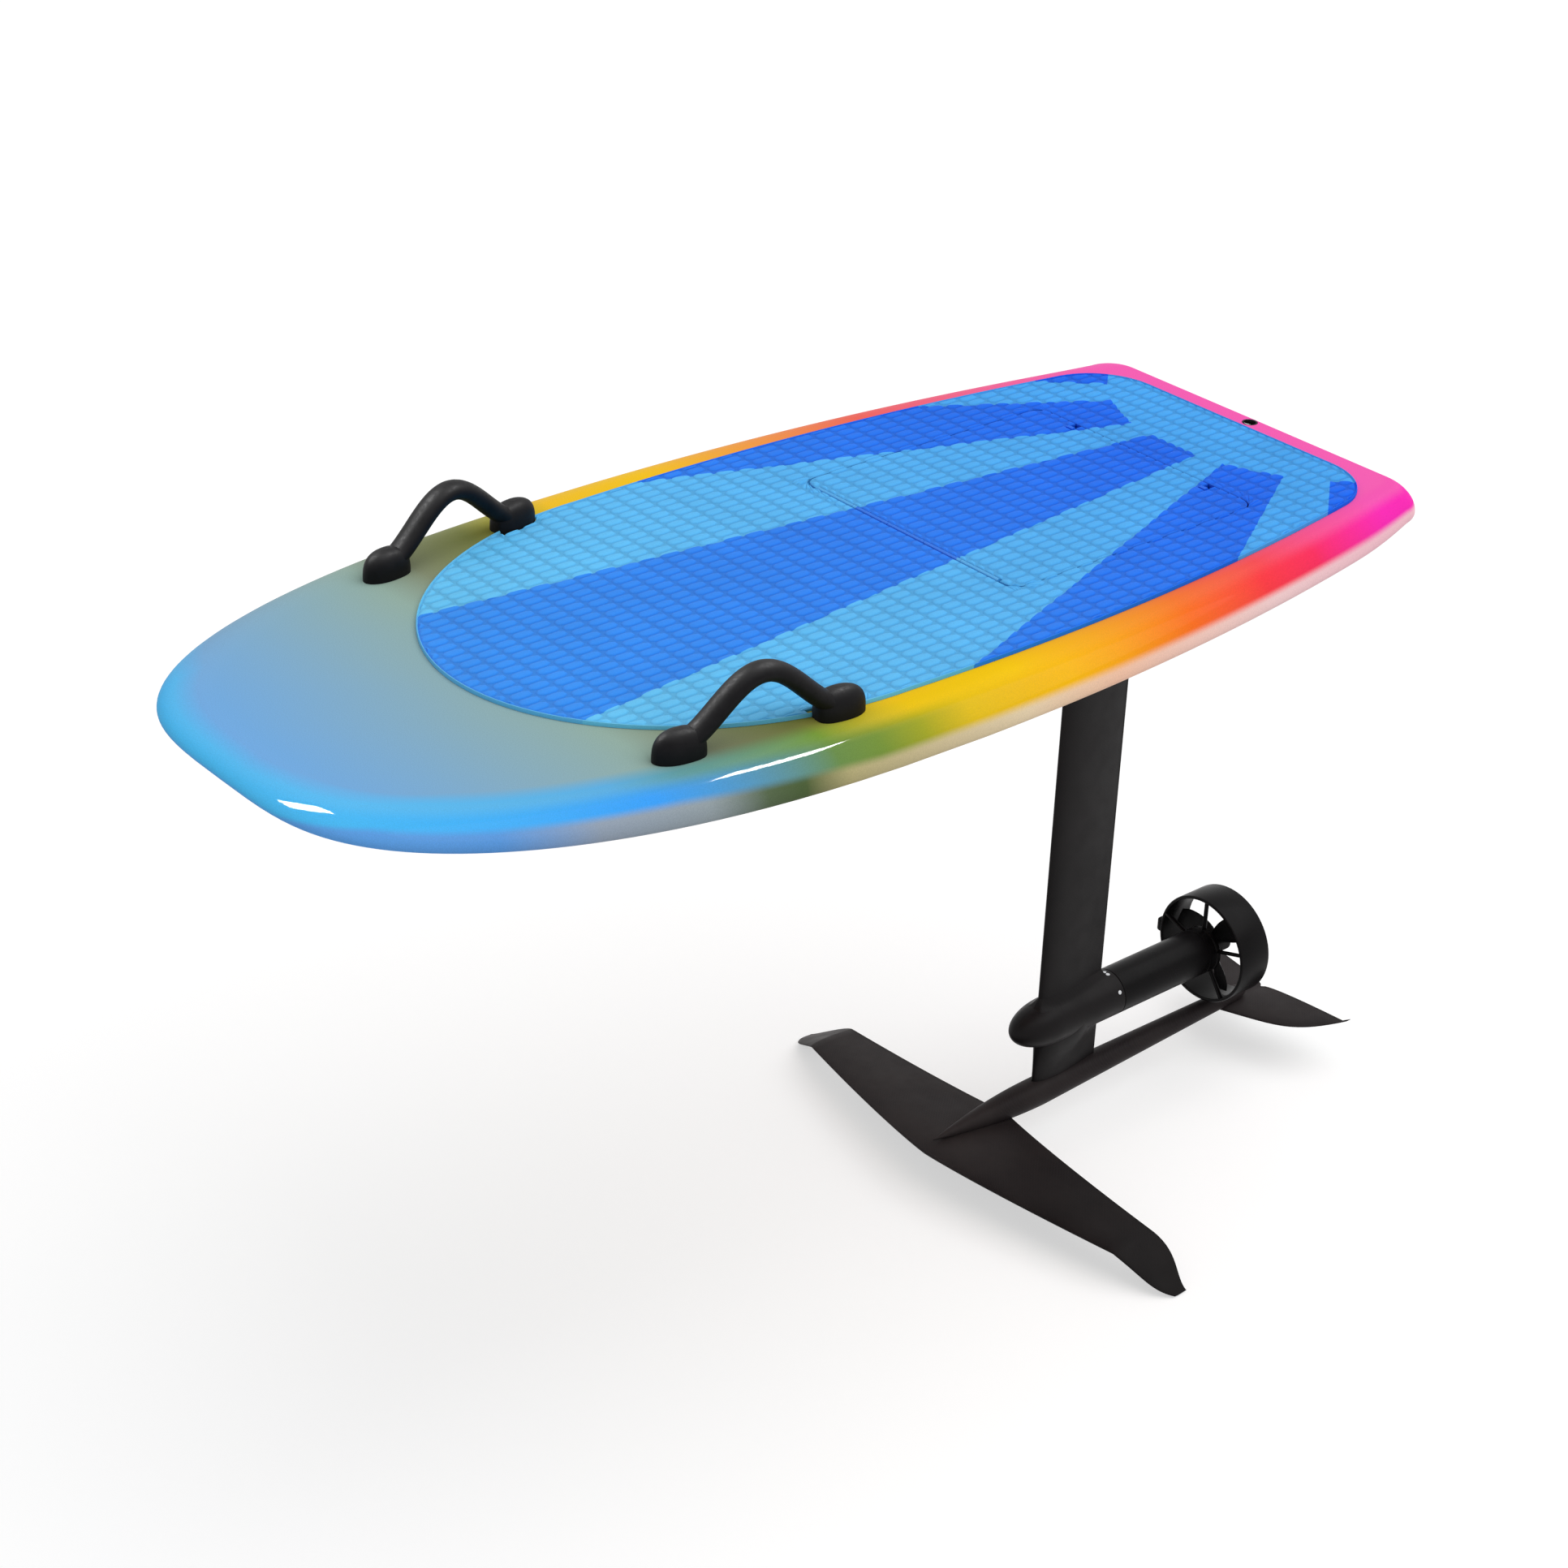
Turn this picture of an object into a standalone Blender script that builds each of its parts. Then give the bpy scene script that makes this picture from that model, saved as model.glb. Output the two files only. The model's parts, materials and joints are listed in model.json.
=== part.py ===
"""Electric hydrofoil board: hull with a battery hatch, mast, ducted motor pod and foil.

Metres. The nose points to -Y, the tail to +Y and the deck to +Z. The origin is on the flat of the
hull's bottom, midway along the board.
"""

import math

import bmesh
import bpy
from mathutils import Matrix, Vector

# Clearances
SEAT_GAP = 0.0003
TURN_GAP = 0.0004

# Board outline and section
BOARD_LENGTH = 1.595
BOARD_WIDTH = 0.768
BOARD_THICKNESS = 0.120
WIDEST_Y = -0.034
NOSE_PULL_IN = 0.072
TAIL_PULL_IN = 0.097
NOSE_ROUND_LENGTH = 0.750
NOSE_SQUARENESS = 3.59
TAIL_CORNER = 0.034
TAIL_BULGE = 0.0005
RAIL_ROUND_WIDTH = 0.050
RAIL_APEX_DEPTH = 0.038
RAIL_TUCK_WIDTH = 0.020
RAIL_TUCK_DEPTH = 0.012
RAIL_TUCK_END = 62.0
BOTTOM_BEVEL_WIDTH = 0.190
TAIL_EDGE_SHARE = 0.08
NOSE_THICKNESS = 0.062
NOSE_RISE_LENGTH = 0.760
TAIL_RISE = 0.045
TAIL_RISE_LENGTH = 0.150

# Deck pad
PAD_THICKNESS = 0.005
PAD_SIDE_MARGIN = 0.0735
PAD_MARGIN_TAPER = 0.022
PAD_REAR_MARGIN = 0.038
PAD_FRONT_MARGIN = 0.3005
PAD_NOSE_LENGTH = 0.397
PAD_CORNER = 0.095

# Hatch and battery bay
HATCH_LENGTH = 0.413
HATCH_WIDTH = 0.390
HATCH_PAST_MAST = -0.009
HATCH_CORNER = 0.020
HATCH_SEAM = 0.0015
LID_THICKNESS = 0.010
GASKET_HEIGHT = 0.003
GASKET_WIDTH = 0.010
LEDGE_WIDTH = 0.020
BAY_CORNER = 0.012
BAY_FLOOR = 0.030

# Hatch hinge
HINGE_LENGTH = 0.330
KNUCKLES = 5
BARREL_RADIUS = 0.003
HINGE_PIN_RADIUS = 0.0012
LEAF_WIDTH = 0.018
LEAF_THICKNESS = 0.0015
HINGE_PAD_GAP = 0.0015

# Hatch bolts
BOLT_SIDE = 0.120
BOLT_WIDTH = 0.016
BOLT_LENGTH = 0.036
BOLT_HEIGHT = 0.005
BOLT_TRAVEL = 0.008
THUMB_WIDTH = 0.011
THUMB_LENGTH = 0.006
THUMB_BACK = 0.012

# Battery and controller
BATTERY_LENGTH = 0.208
BATTERY_SIDE_GAP = 0.004
BATTERY_TOP_GAP = 0.006
BATTERY_EDGE = 0.008
CONTROLLER_WALL_GAP = 0.015
CONTROLLER_HEIGHT = 0.046
CONTROLLER_FINS = 7
FIN_DEPTH = 0.008
FIN_SHARE = 0.5

# Leash plug
LEASH_RADIUS = 0.0105
LEASH_WALL = 0.002
LEASH_DEPTH = 0.018
LEASH_PIN_RADIUS = 0.0015
LEASH_PIN_DEPTH = 0.0045
LEASH_FROM_TAIL = 0.0155

# Grab handles
HANDLE_FRONT_Y = -0.403
HANDLE_SPACING = 0.2035
HANDLE_FRONT_MARGIN = 0.0175
HANDLE_REAR_MARGIN = 0.0085
HANDLE_RISE = 0.0767
HANDLE_ARCH_POWER = 1.775
GRIP_WIDTH = 0.031
GRIP_THICKNESS = 0.0235
GRIP_DECK_GAP = 0.002
FOOT_LENGTH = 0.064
FOOT_WIDTH = 0.036
FOOT_HEIGHT = 0.034
FOOT_SCREW_OUT = 0.0205
FOOT_NOTCH_GAP = 0.0015
FOOT_LEVELS = ((0.0, 1.0), (0.35, 0.985), (0.7, 0.86), (0.9, 0.6), (1.0, 0.3))
HANDLE_SCREW_RADIUS = 0.003
HANDLE_HEAD_RADIUS = 0.0055
HANDLE_HEAD_HEIGHT = 0.004
HANDLE_SCREW_DEPTH = 0.024
HANDLE_HEAD_SEAT = 0.010

# Mast
MAST_LEAD_Y = 0.470
MAST_CHORD = 0.122
MAST_THICKNESS = 0.0175
MAST_DEPTH = 0.8275
MAST_CHANNEL_BACK = 0.048
LEAD_RADIUS = 0.0045
LEAD_GAP = 0.0008
LEAD_BEND = 0.016

# Mast head
HEAD_LENGTH = 0.190
HEAD_WIDTH = 0.120
HEAD_THICKNESS = 0.012
HEAD_CORNER = 0.024
HEAD_COLLAR_HEIGHT = 0.028
HEAD_COLLAR_WALL = 0.006
MAST_BOLT_ACROSS = 0.090
MAST_BOLT_ALONG = 0.165
MAST_BOLT_RADIUS = 0.004
MAST_BOLT_HEAD_RADIUS = 0.007
MAST_BOLT_HEAD_HEIGHT = 0.005
INSERT_WIDTH = 0.022
INSERT_LENGTH = 0.200
INSERT_HEIGHT = 0.016
GLAND_RADIUS = 0.011
GLAND_FLANGE_RADIUS = 0.016
GLAND_FLANGE_HEIGHT = 0.005

# Motor pod
POD_ABOVE_FUSELAGE = 0.1165
POD_RADIUS = 0.034
POD_NOSE_AHEAD = 0.047
POD_NOSE_LENGTH = 0.070
POD_TAIL_BEHIND = 0.020
POD_SCREW_ANGLES = (30.0, 84.0)
POD_SCREW_RADIUS = 0.0017
POD_HEAD_RADIUS = 0.0030
POD_HEAD_HEIGHT = 0.0018
POD_SCREW_AHEAD = 0.009
POD_SCREW_LENGTH = 0.0054
SPIGOT_LENGTH = 0.017
POD_WALL = 0.004

# Motor
HOUSING_LENGTH = 0.187
HOUSING_WALL = 0.004
HOUSING_FRONT_WALL = 0.009
LEAD_ABOVE_AXIS = 0.020
SHAFT_RADIUS = 0.006
BEARING_RADIUS = 0.013
BEARING_LENGTH = 0.008
STATOR_LENGTH = 0.075
STATOR_INNER_RADIUS = 0.0195
AIR_GAP = 0.001
STATOR_FROM_FRONT = 0.022
ROTOR_SHORTER = 0.004

# Propeller guard and propeller
GUARD_RADIUS = 0.082
GUARD_WALL = 0.005
GUARD_LENGTH = 0.058
GUARD_STRUTS = 5
STRUT_THICKNESS = 0.005
STRUT_LENGTH = 0.008
PLUG_LENGTH = 0.030
SEAL_LENGTH = 0.008
SEAL_RADIUS = 0.011
LUG_WIDTH = 0.008
LUG_LENGTH = 0.020
LUG_HEIGHT = 0.022
BLADES = 3
BLADE_START_ANGLE = 40.0
BLADE_TIP_GAP = 0.0045
BLADE_PITCH = 0.120
BLADE_ROOT_CHORD = 0.030
BLADE_CHORD_SWELL = 0.012
BLADE_TIP_CHORD = 0.024
BLADE_THICKNESS = 0.0050
BLADE_TIP_THICKNESS = 0.0018
BLADE_ROOT_IN_HUB = 0.004
HUB_RADIUS = 0.015
HUB_LENGTH = 0.038
HUB_AFTER_STRUTS = 0.003
NUT_RADIUS = 0.0105
NUT_LENGTH = 0.013
NUT_CROWN_RADIUS = 0.0075
NUT_CROWN_AT = 0.011
SHAFT_IN_NUT = 0.008

# Fuselage
FUSELAGE_NOSE_AHEAD = 0.188
FUSELAGE_TAIL_BEHIND = 0.318
FUSELAGE_RADIUS = 0.0215
FUSELAGE_NOSE_LENGTH = 0.200
FUSELAGE_TAIL_RADIUS = 0.0115
FUSELAGE_TAIL_LIFT = 0.008
FUSELAGE_TAIL_ROUND = 0.030
FUSELAGE_SLOT_DEPTH = 0.012
FOIL_BOLT_RADIUS = 0.003
FOIL_BOLT_HEAD_RADIUS = 0.005
FOIL_BOLT_HEAD_HEIGHT = 0.004
FOIL_BOLT_SEAT = 0.008
FOIL_BOLT_REACH = 0.028
FOIL_BOLT_BACK = (0.030, 0.080)

# Front wing
WING_LEAD_AHEAD = 0.203
WING_ROOT_CHORD = 0.157
WING_CREASE_CHORD = 0.078
WING_CREASE_SWEEP = 0.060
WING_CREASE_X = 0.310
WING_DROP = 0.014
WING_ANHEDRAL = 0.014
WING_TIP_LENGTH = 0.089
WING_TIP_ANGLE = 30.5
WING_TIP_SWEEP = 0.034
WING_TIP_CHORD = 0.022
WING_TIP_SET_BACK = 0.5
WING_SWEEP_POWER = 1.35
WING_ANHEDRAL_POWER = 1.5
WING_ROOT_THICKNESS = 0.018
WING_CREASE_THICKNESS = 0.0082
WING_BOLT_BACK = (0.077, 0.110)
WING_BOLT_RADIUS = 0.0025
WING_BOLT_HEAD_RADIUS = 0.0042
WING_BOLT_HEAD_HEIGHT = 0.003

# Stabiliser
STABILISER_LEAD_BEHIND = 0.256
STABILISER_ROOT_CHORD = 0.099
STABILISER_HALF_SPAN = 0.143
STABILISER_SWEEP = 0.060
STABILISER_TIP_SWEEP = 0.070
STABILISER_TIP_POWER = 6
STABILISER_TIP_CHORD = 0.0084
STABILISER_TAIL_SWEEP = 0.028
STABILISER_DROP = 0.004
STABILISER_THICKNESS = 0.009
STABILISER_BOLT_BACK = (0.016, 0.038)
STABILISER_BOLT_RADIUS = 0.002
STABILISER_HEAD_RADIUS = 0.0036
STABILISER_HEAD_HEIGHT = 0.002

# Facets
FINE_SIDES = 28
ROUND_SIDES = 20
SMALL_SIDES = 10
FOIL_POINTS = 8
GRIP_SIDES = 12
CORNER_STEPS = 5
SMOOTH_ANGLE = 35.0
FOIL_EDGE = 0.0008
FOIL_SERIES = (0.2969, -0.126, -0.3516, 0.2843, -0.1036)

# Places worked out from the sizes above
NOSE_Y = -BOARD_LENGTH / 2
TAIL_Y = BOARD_LENGTH / 2
DECK_Z = BOARD_THICKNESS
PAD_Z = DECK_Z + SEAT_GAP
PAD_TOP_Z = PAD_Z + PAD_THICKNESS
MAST_TAIL_Y = MAST_LEAD_Y + MAST_CHORD
MAST_MIDDLE_Y = MAST_LEAD_Y + MAST_CHORD / 2
CHANNEL_Y = MAST_LEAD_Y + MAST_CHANNEL_BACK
HATCH_REAR_Y = MAST_TAIL_Y + HATCH_PAST_MAST
HATCH_FRONT_Y = HATCH_REAR_Y - HATCH_LENGTH
LID_BOTTOM_Z = DECK_Z - LID_THICKNESS
LEDGE_Z = LID_BOTTOM_Z - GASKET_HEIGHT
BAY_FRONT_Y = HATCH_FRONT_Y + LEDGE_WIDTH
BAY_REAR_Y = HATCH_REAR_Y - LEDGE_WIDTH
BAY_HALF_WIDTH = HATCH_WIDTH / 2 - LEDGE_WIDTH
HINGE_Z = PAD_TOP_Z - BARREL_RADIUS
HINGE_PAD_EDGE = BARREL_RADIUS + HINGE_PAD_GAP
BOLT_REAR_Y = HATCH_REAR_Y - HATCH_SEAM - SEAT_GAP
BOLT_Z = DECK_Z - LID_THICKNESS / 2
FUSELAGE_Z = -MAST_DEPTH
POD_Z = FUSELAGE_Z + POD_ABOVE_FUSELAGE
POD_NOSE_Y = MAST_LEAD_Y - POD_NOSE_AHEAD
POD_TAIL_Y = MAST_TAIL_Y + POD_TAIL_BEHIND
HOUSING_FRONT_Y = POD_TAIL_Y + SEAT_GAP
HOUSING_REAR_Y = HOUSING_FRONT_Y + HOUSING_LENGTH
HOUSING_BORE = POD_RADIUS - HOUSING_WALL
SPIGOT_RADIUS = POD_RADIUS - POD_WALL - SEAT_GAP
GUARD_FRONT_Y = HOUSING_REAR_Y + SEAT_GAP
GUARD_BORE = GUARD_RADIUS - GUARD_WALL
STRUT_REAR_Y = GUARD_FRONT_Y + STRUT_LENGTH
HUB_FRONT_Y = STRUT_REAR_Y + HUB_AFTER_STRUTS
HUB_REAR_Y = HUB_FRONT_Y + HUB_LENGTH
SHAFT_BORE = SHAFT_RADIUS + TURN_GAP
FUSELAGE_NOSE_Y = MAST_LEAD_Y - FUSELAGE_NOSE_AHEAD
FUSELAGE_TAIL_Y = MAST_TAIL_Y + FUSELAGE_TAIL_BEHIND
MAST_FOOT_Z = FUSELAGE_Z + FUSELAGE_RADIUS - FUSELAGE_SLOT_DEPTH
WING_LEAD_Y = MAST_LEAD_Y - WING_LEAD_AHEAD
WING_Z = FUSELAGE_Z - WING_DROP
STABILISER_LEAD_Y = MAST_TAIL_Y + STABILISER_LEAD_BEHIND
STABILISER_Z = FUSELAGE_Z - STABILISER_DROP
ALONG_Y = (-math.pi / 2, 0.0, 0.0)


def clear_scene():
    for thing in list(bpy.data.objects):
        bpy.data.objects.remove(thing, do_unlink=True)


def finish(name, colour, roughness, metallic=0.0):
    """A Principled material."""
    made = bpy.data.materials.new(name)
    made.use_nodes = True
    shader = made.node_tree.nodes["Principled BSDF"]
    shader.inputs["Base Color"].default_value = (*colour, 1.0)
    shader.inputs["Roughness"].default_value = roughness
    shader.inputs["Metallic"].default_value = metallic
    return made


def smooth(mesh):
    mesh.shade_smooth()
    mesh.set_sharp_from_angle(angle=math.radians(SMOOTH_ANGLE))


def solid(name, points, faces, look=None):
    """A closed mesh object with its faces turned outwards."""
    mesh = bpy.data.meshes.new(name)
    mesh.from_pydata([tuple(point) for point in points], [], faces)
    shape = bmesh.new()
    shape.from_mesh(mesh)
    bmesh.ops.recalc_face_normals(shape, faces=shape.faces)
    shape.to_mesh(mesh)
    shape.free()
    smooth(mesh)
    if look:
        mesh.materials.append(look)
    made = bpy.data.objects.new(name, mesh)
    bpy.context.scene.collection.objects.link(made)
    return made


def loft(name, rings, look=None):
    """A solid through rings of points, with its two ends closed."""
    count = len(rings[0])
    points = [point for ring in rings for point in ring]
    faces = []
    for row in range(len(rings) - 1):
        for step in range(count):
            ahead = (step + 1) % count
            low, high = row * count, (row + 1) * count
            faces.append((low + step, low + ahead, high + ahead, high + step))
    last = (len(rings) - 1) * count
    faces.append(tuple(range(count)))
    faces.append(tuple(range(last, last + count)))
    return solid(name, points, faces, look)


def prism(name, outline, low, high, look=None):
    """An outline in plan, raised from one height to another."""
    rings = [[(x, y, z) for x, y in outline] for z in (low, high)]
    return loft(name, rings, look)


def frame(name, outer, inner, low, high, look=None):
    """A flat ring between two outlines of as many points."""
    count = len(outer)
    loops = [(outer, low), (outer, high), (inner, high), (inner, low)]
    points = [(x, y, z) for loop, z in loops for x, y in loop]
    faces = []
    for row in range(len(loops)):
        below = (row + 1) % len(loops)
        for step in range(count):
            ahead = (step + 1) % count
            here, there = row * count, below * count
            faces.append((here + step, here + ahead, there + ahead, there + step))
    return solid(name, points, faces, look)


def turned(name, profile, sides, look=None, hollow=False):
    """A profile of radius and height turned about Z; a hollow one closes on itself."""
    points = []
    rows = []
    for radius, height in profile:
        if radius == 0.0:
            rows.append([len(points)])
            points.append((0.0, 0.0, height))
            continue
        rows.append(list(range(len(points), len(points) + sides)))
        for step in range(sides):
            angle = math.tau * (step + 0.5) / sides
            points.append((radius * math.cos(angle), radius * math.sin(angle), height))
    faces = []
    pairs = list(zip(rows, rows[1:]))
    if hollow:
        pairs.append((rows[-1], rows[0]))
    for first, second in pairs:
        for step in range(sides):
            ahead = (step + 1) % sides
            if len(first) == 1:
                faces.append((first[0], second[step], second[ahead]))
            elif len(second) == 1:
                faces.append((first[step], first[ahead], second[0]))
            else:
                faces.append((first[step], first[ahead], second[ahead], second[step]))
    return solid(name, points, faces, look)


def cylinder(name, radius, low, high, sides, look=None):
    return turned(name, [(0.0, low), (radius, low), (radius, high), (0.0, high)], sides, look)


def bush(name, outer, inner, low, high, sides, look=None):
    profile = [(outer, low), (outer, high), (inner, high), (inner, low)]
    return turned(name, profile, sides, look, hollow=True)


def block(name, low, high, look=None):
    """A box between two corners."""
    outline = [(low[0], low[1]), (high[0], low[1]), (high[0], high[1]), (low[0], high[1])]
    return prism(name, outline, low[2], high[2], look)


def tube(name, path, radius, sides, look=None):
    """A round tube along a path of points."""
    rings = []
    side = None
    for index, point in enumerate(path):
        before = path[max(index - 1, 0)]
        after = path[min(index + 1, len(path) - 1)]
        along = (after - before).normalized()
        if side is None:
            side = along.orthogonal().normalized()
        side = (side - along * side.dot(along)).normalized()
        across = along.cross(side)
        ring = []
        for step in range(sides):
            angle = math.tau * step / sides
            offset = side * math.cos(angle) + across * math.sin(angle)
            ring.append(point + offset * radius)
        rings.append(ring)
    return loft(name, rings, look)


def placed(thing, location, rotation=(0.0, 0.0, 0.0)):
    thing.location = location
    thing.rotation_euler = rotation
    return thing


def combine(target, tool, operation):
    """Cut or join a tool into a target, and remove the tool."""
    change = target.modifiers.new(operation, "BOOLEAN")
    change.operation = operation
    change.object = tool
    bpy.context.view_layer.update()
    graph = bpy.context.evaluated_depsgraph_get()
    changed = bpy.data.meshes.new_from_object(target.evaluated_get(graph))
    target.modifiers.clear()
    target.data = changed
    smooth(changed)
    bpy.data.objects.remove(tool, do_unlink=True)


def cut(target, tool):
    combine(target, tool, "DIFFERENCE")


def join(target, tool):
    combine(target, tool, "UNION")


def set_origin(thing, point):
    """Move an unplaced object's origin to a point without moving its shape."""
    thing.data.transform(Matrix.Translation(-Vector(point)))
    thing.location = point
    return thing


def pivot(name, point):
    """An empty on a joint's axis, which carries the pieces that move on it."""
    made = bpy.data.objects.new(name, None)
    made.location = point
    bpy.context.scene.collection.objects.link(made)
    return made


def carry(parent, things):
    bpy.context.view_layer.update()
    for thing in things:
        thing.parent = parent
        thing.matrix_parent_inverse = parent.matrix_world.inverted()


def rounded_rectangle(half_width, front, rear, corner):
    """A rectangle in plan, about X = 0, with round corners."""
    centres = [
        (half_width - corner, rear - corner, 0.0),
        (corner - half_width, rear - corner, 90.0),
        (corner - half_width, front + corner, 180.0),
        (half_width - corner, front + corner, 270.0),
    ]
    outline = []
    for x, y, start in centres:
        for step in range(CORNER_STEPS + 1):
            angle = math.radians(start + 90.0 * step / CORNER_STEPS)
            outline.append((x + corner * math.cos(angle), y + corner * math.sin(angle)))
    return outline


def headed(name, head_radius, head_height, radius, length, look=None):
    """A headed screw: its head below Z = 0 and its shank above."""
    profile = [(0.0, -head_height), (head_radius, -head_height), (head_radius, 0.0)]
    profile += [(radius, 0.0), (radius, length), (0.0, length)]
    return turned(name, profile, SMALL_SIDES, look)


def headed_hole(head_radius, head_reach, radius, length):
    """The tool for a screw's hole, with room for its head to pass."""
    wide, narrow = head_radius + TURN_GAP, radius + TURN_GAP
    return headed("hole", wide, head_reach, narrow, length + TURN_GAP)


def nose_end_share(share):
    """How far along the round of the nose its outline has reached this share of its width."""
    return 1.0 - (1.0 - share ** NOSE_SQUARENESS) ** (1.0 / NOSE_SQUARENESS)


def half_width(y):
    """Half-width of the board's outline, short of its tail corners."""
    if y < WIDEST_Y:
        pull = NOSE_PULL_IN * ((WIDEST_Y - y) / (WIDEST_Y - NOSE_Y)) ** 2
    else:
        pull = TAIL_PULL_IN * ((y - WIDEST_Y) / (TAIL_Y - WIDEST_Y)) ** 2
    width = BOARD_WIDTH / 2 - pull
    short = 1.0 - (y - NOSE_Y) / NOSE_ROUND_LENGTH
    if short > 0.0:
        width *= (1.0 - short ** NOSE_SQUARENESS) ** (1.0 / NOSE_SQUARENESS)
    return width


def thickness_share(y):
    """Share of the full thickness below the deck at a station."""
    nose = max(0.0, (NOSE_Y + NOSE_RISE_LENGTH - y) / NOSE_RISE_LENGTH)
    tail = max(0.0, (y - TAIL_Y + TAIL_RISE_LENGTH) / TAIL_RISE_LENGTH)
    nose_loss = (1.0 - NOSE_THICKNESS / BOARD_THICKNESS) * nose ** 2
    return 1.0 - nose_loss - TAIL_RISE / BOARD_THICKNESS * tail ** 2


def board_outline():
    """One half of the outline from nose to tail, its points closer together where it bends."""
    nose_shares = (0.25, 0.45, 0.62, 0.75, 0.85, 0.92)
    side_steps = 13
    stations = [NOSE_Y + NOSE_ROUND_LENGTH * nose_end_share(share) for share in nose_shares]
    first, last = stations[-1], TAIL_Y - TAIL_BULGE - TAIL_CORNER
    stations += [first + (last - first) * step / side_steps for step in range(1, side_steps + 1)]
    outline = [(half_width(y), y) for y in stations]
    corner_x = half_width(last) - TAIL_CORNER
    for step in range(1, CORNER_STEPS + 1):
        angle = math.pi / 2 * step / CORNER_STEPS
        x = corner_x + TAIL_CORNER * math.cos(angle)
        outline.append((x, last + TAIL_CORNER * math.sin(angle)))
    return outline


def board_ring(inset, depth, outline):
    """One ring of the hull, this far in from the outline and this far below the deck."""
    narrow = 1.0 - 2 * inset / BOARD_WIDTH
    nose_in, tail_in = inset, TAIL_EDGE_SHARE * inset

    def point(x, y):
        shrink = (BOARD_LENGTH - nose_in - tail_in) / BOARD_LENGTH
        moved = NOSE_Y + nose_in + (y - NOSE_Y) * shrink
        return (x, moved, DECK_Z - depth * thickness_share(moved))

    right = [point(x * narrow, y) for x, y in outline]
    left = [point(-x * narrow, y) for x, y in reversed(outline)]
    return [point(0.0, NOSE_Y)] + right + [point(0.0, TAIL_Y)] + left


def rail_section():
    """Insets and depths of the hull's rings, from the deck round the rail to the bottom."""
    upper_steps, tuck_steps = 5, 3
    tuck_end = math.radians(RAIL_TUCK_END)
    rings = []
    for step in range(upper_steps + 1):
        angle = math.pi / 2 * (1.0 - step / upper_steps)
        inset = RAIL_ROUND_WIDTH * (1.0 - math.cos(angle))
        rings.append((inset, RAIL_APEX_DEPTH * (1.0 - math.sin(angle))))
    for step in range(1, tuck_steps + 1):
        angle = tuck_end * step / tuck_steps
        inset = RAIL_TUCK_WIDTH * (1.0 - math.cos(angle))
        rings.append((inset, RAIL_APEX_DEPTH + RAIL_TUCK_DEPTH * math.sin(angle)))
    rings.append((BOTTOM_BEVEL_WIDTH, BOARD_THICKNESS))
    return rings


def board_blank(look):
    """The hull before anything is cut into it."""
    outline = board_outline()
    rings = [board_ring(inset, depth, outline) for inset, depth in rail_section()]
    count = len(rings[0])
    points = [point for ring in rings for point in ring]
    faces = [tuple(range(count))]
    for row in range(len(rings) - 1):
        for step in range(count):
            ahead = (step + 1) % count
            here, there = row * count, (row + 1) * count
            faces.append((here + step, here + ahead, there + ahead, there + step))
    bottom = (len(rings) - 1) * count
    for step in range(count // 2):
        strip = [step, step + 1, count - step - 1, (count - step) % count]
        faces.append(tuple(bottom + corner for corner in dict.fromkeys(strip)))
    return solid("board_hull", points, faces, look)


def handle_feet():
    """Each handle's two feet: name, place on the deck, and the way its far end points."""
    feet = []
    for side, x_sign in (("left", 1.0), ("right", -1.0)):
        places = []
        for away, margin in ((0.0, HANDLE_FRONT_MARGIN), (HANDLE_SPACING, HANDLE_REAR_MARGIN)):
            y = HANDLE_FRONT_Y + away
            flat_edge = half_width(y) * (1.0 - 2 * RAIL_ROUND_WIDTH / BOARD_WIDTH)
            x = flat_edge - margin - FOOT_WIDTH / 2
            places.append(Vector((x_sign * x, y, DECK_Z + SEAT_GAP)))
        along = (places[1] - places[0]).normalized()
        feet.append((side, "front", places[0], -along))
        feet.append((side, "rear", places[1], along))
    return feet


def foot_outline(place, outwards, grown):
    """A foot's outline in plan: round at its far end, square where the grip comes out."""
    steps = 9
    half_length, half_wide = FOOT_LENGTH / 2 + grown, FOOT_WIDTH / 2 + grown
    across = Vector((-outwards.y, outwards.x, 0.0))
    outline = []
    for step in range(steps):
        angle = math.pi * step / (steps - 1) - math.pi / 2
        far, aside = half_length * math.cos(angle), half_wide * math.sin(angle)
        point = place + outwards * far + across * aside
        outline.append((point.x, point.y))
    for sign in (1.0, -1.0):
        point = place - outwards * half_length + across * (sign * half_wide)
        outline.append((point.x, point.y))
    return outline


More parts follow.
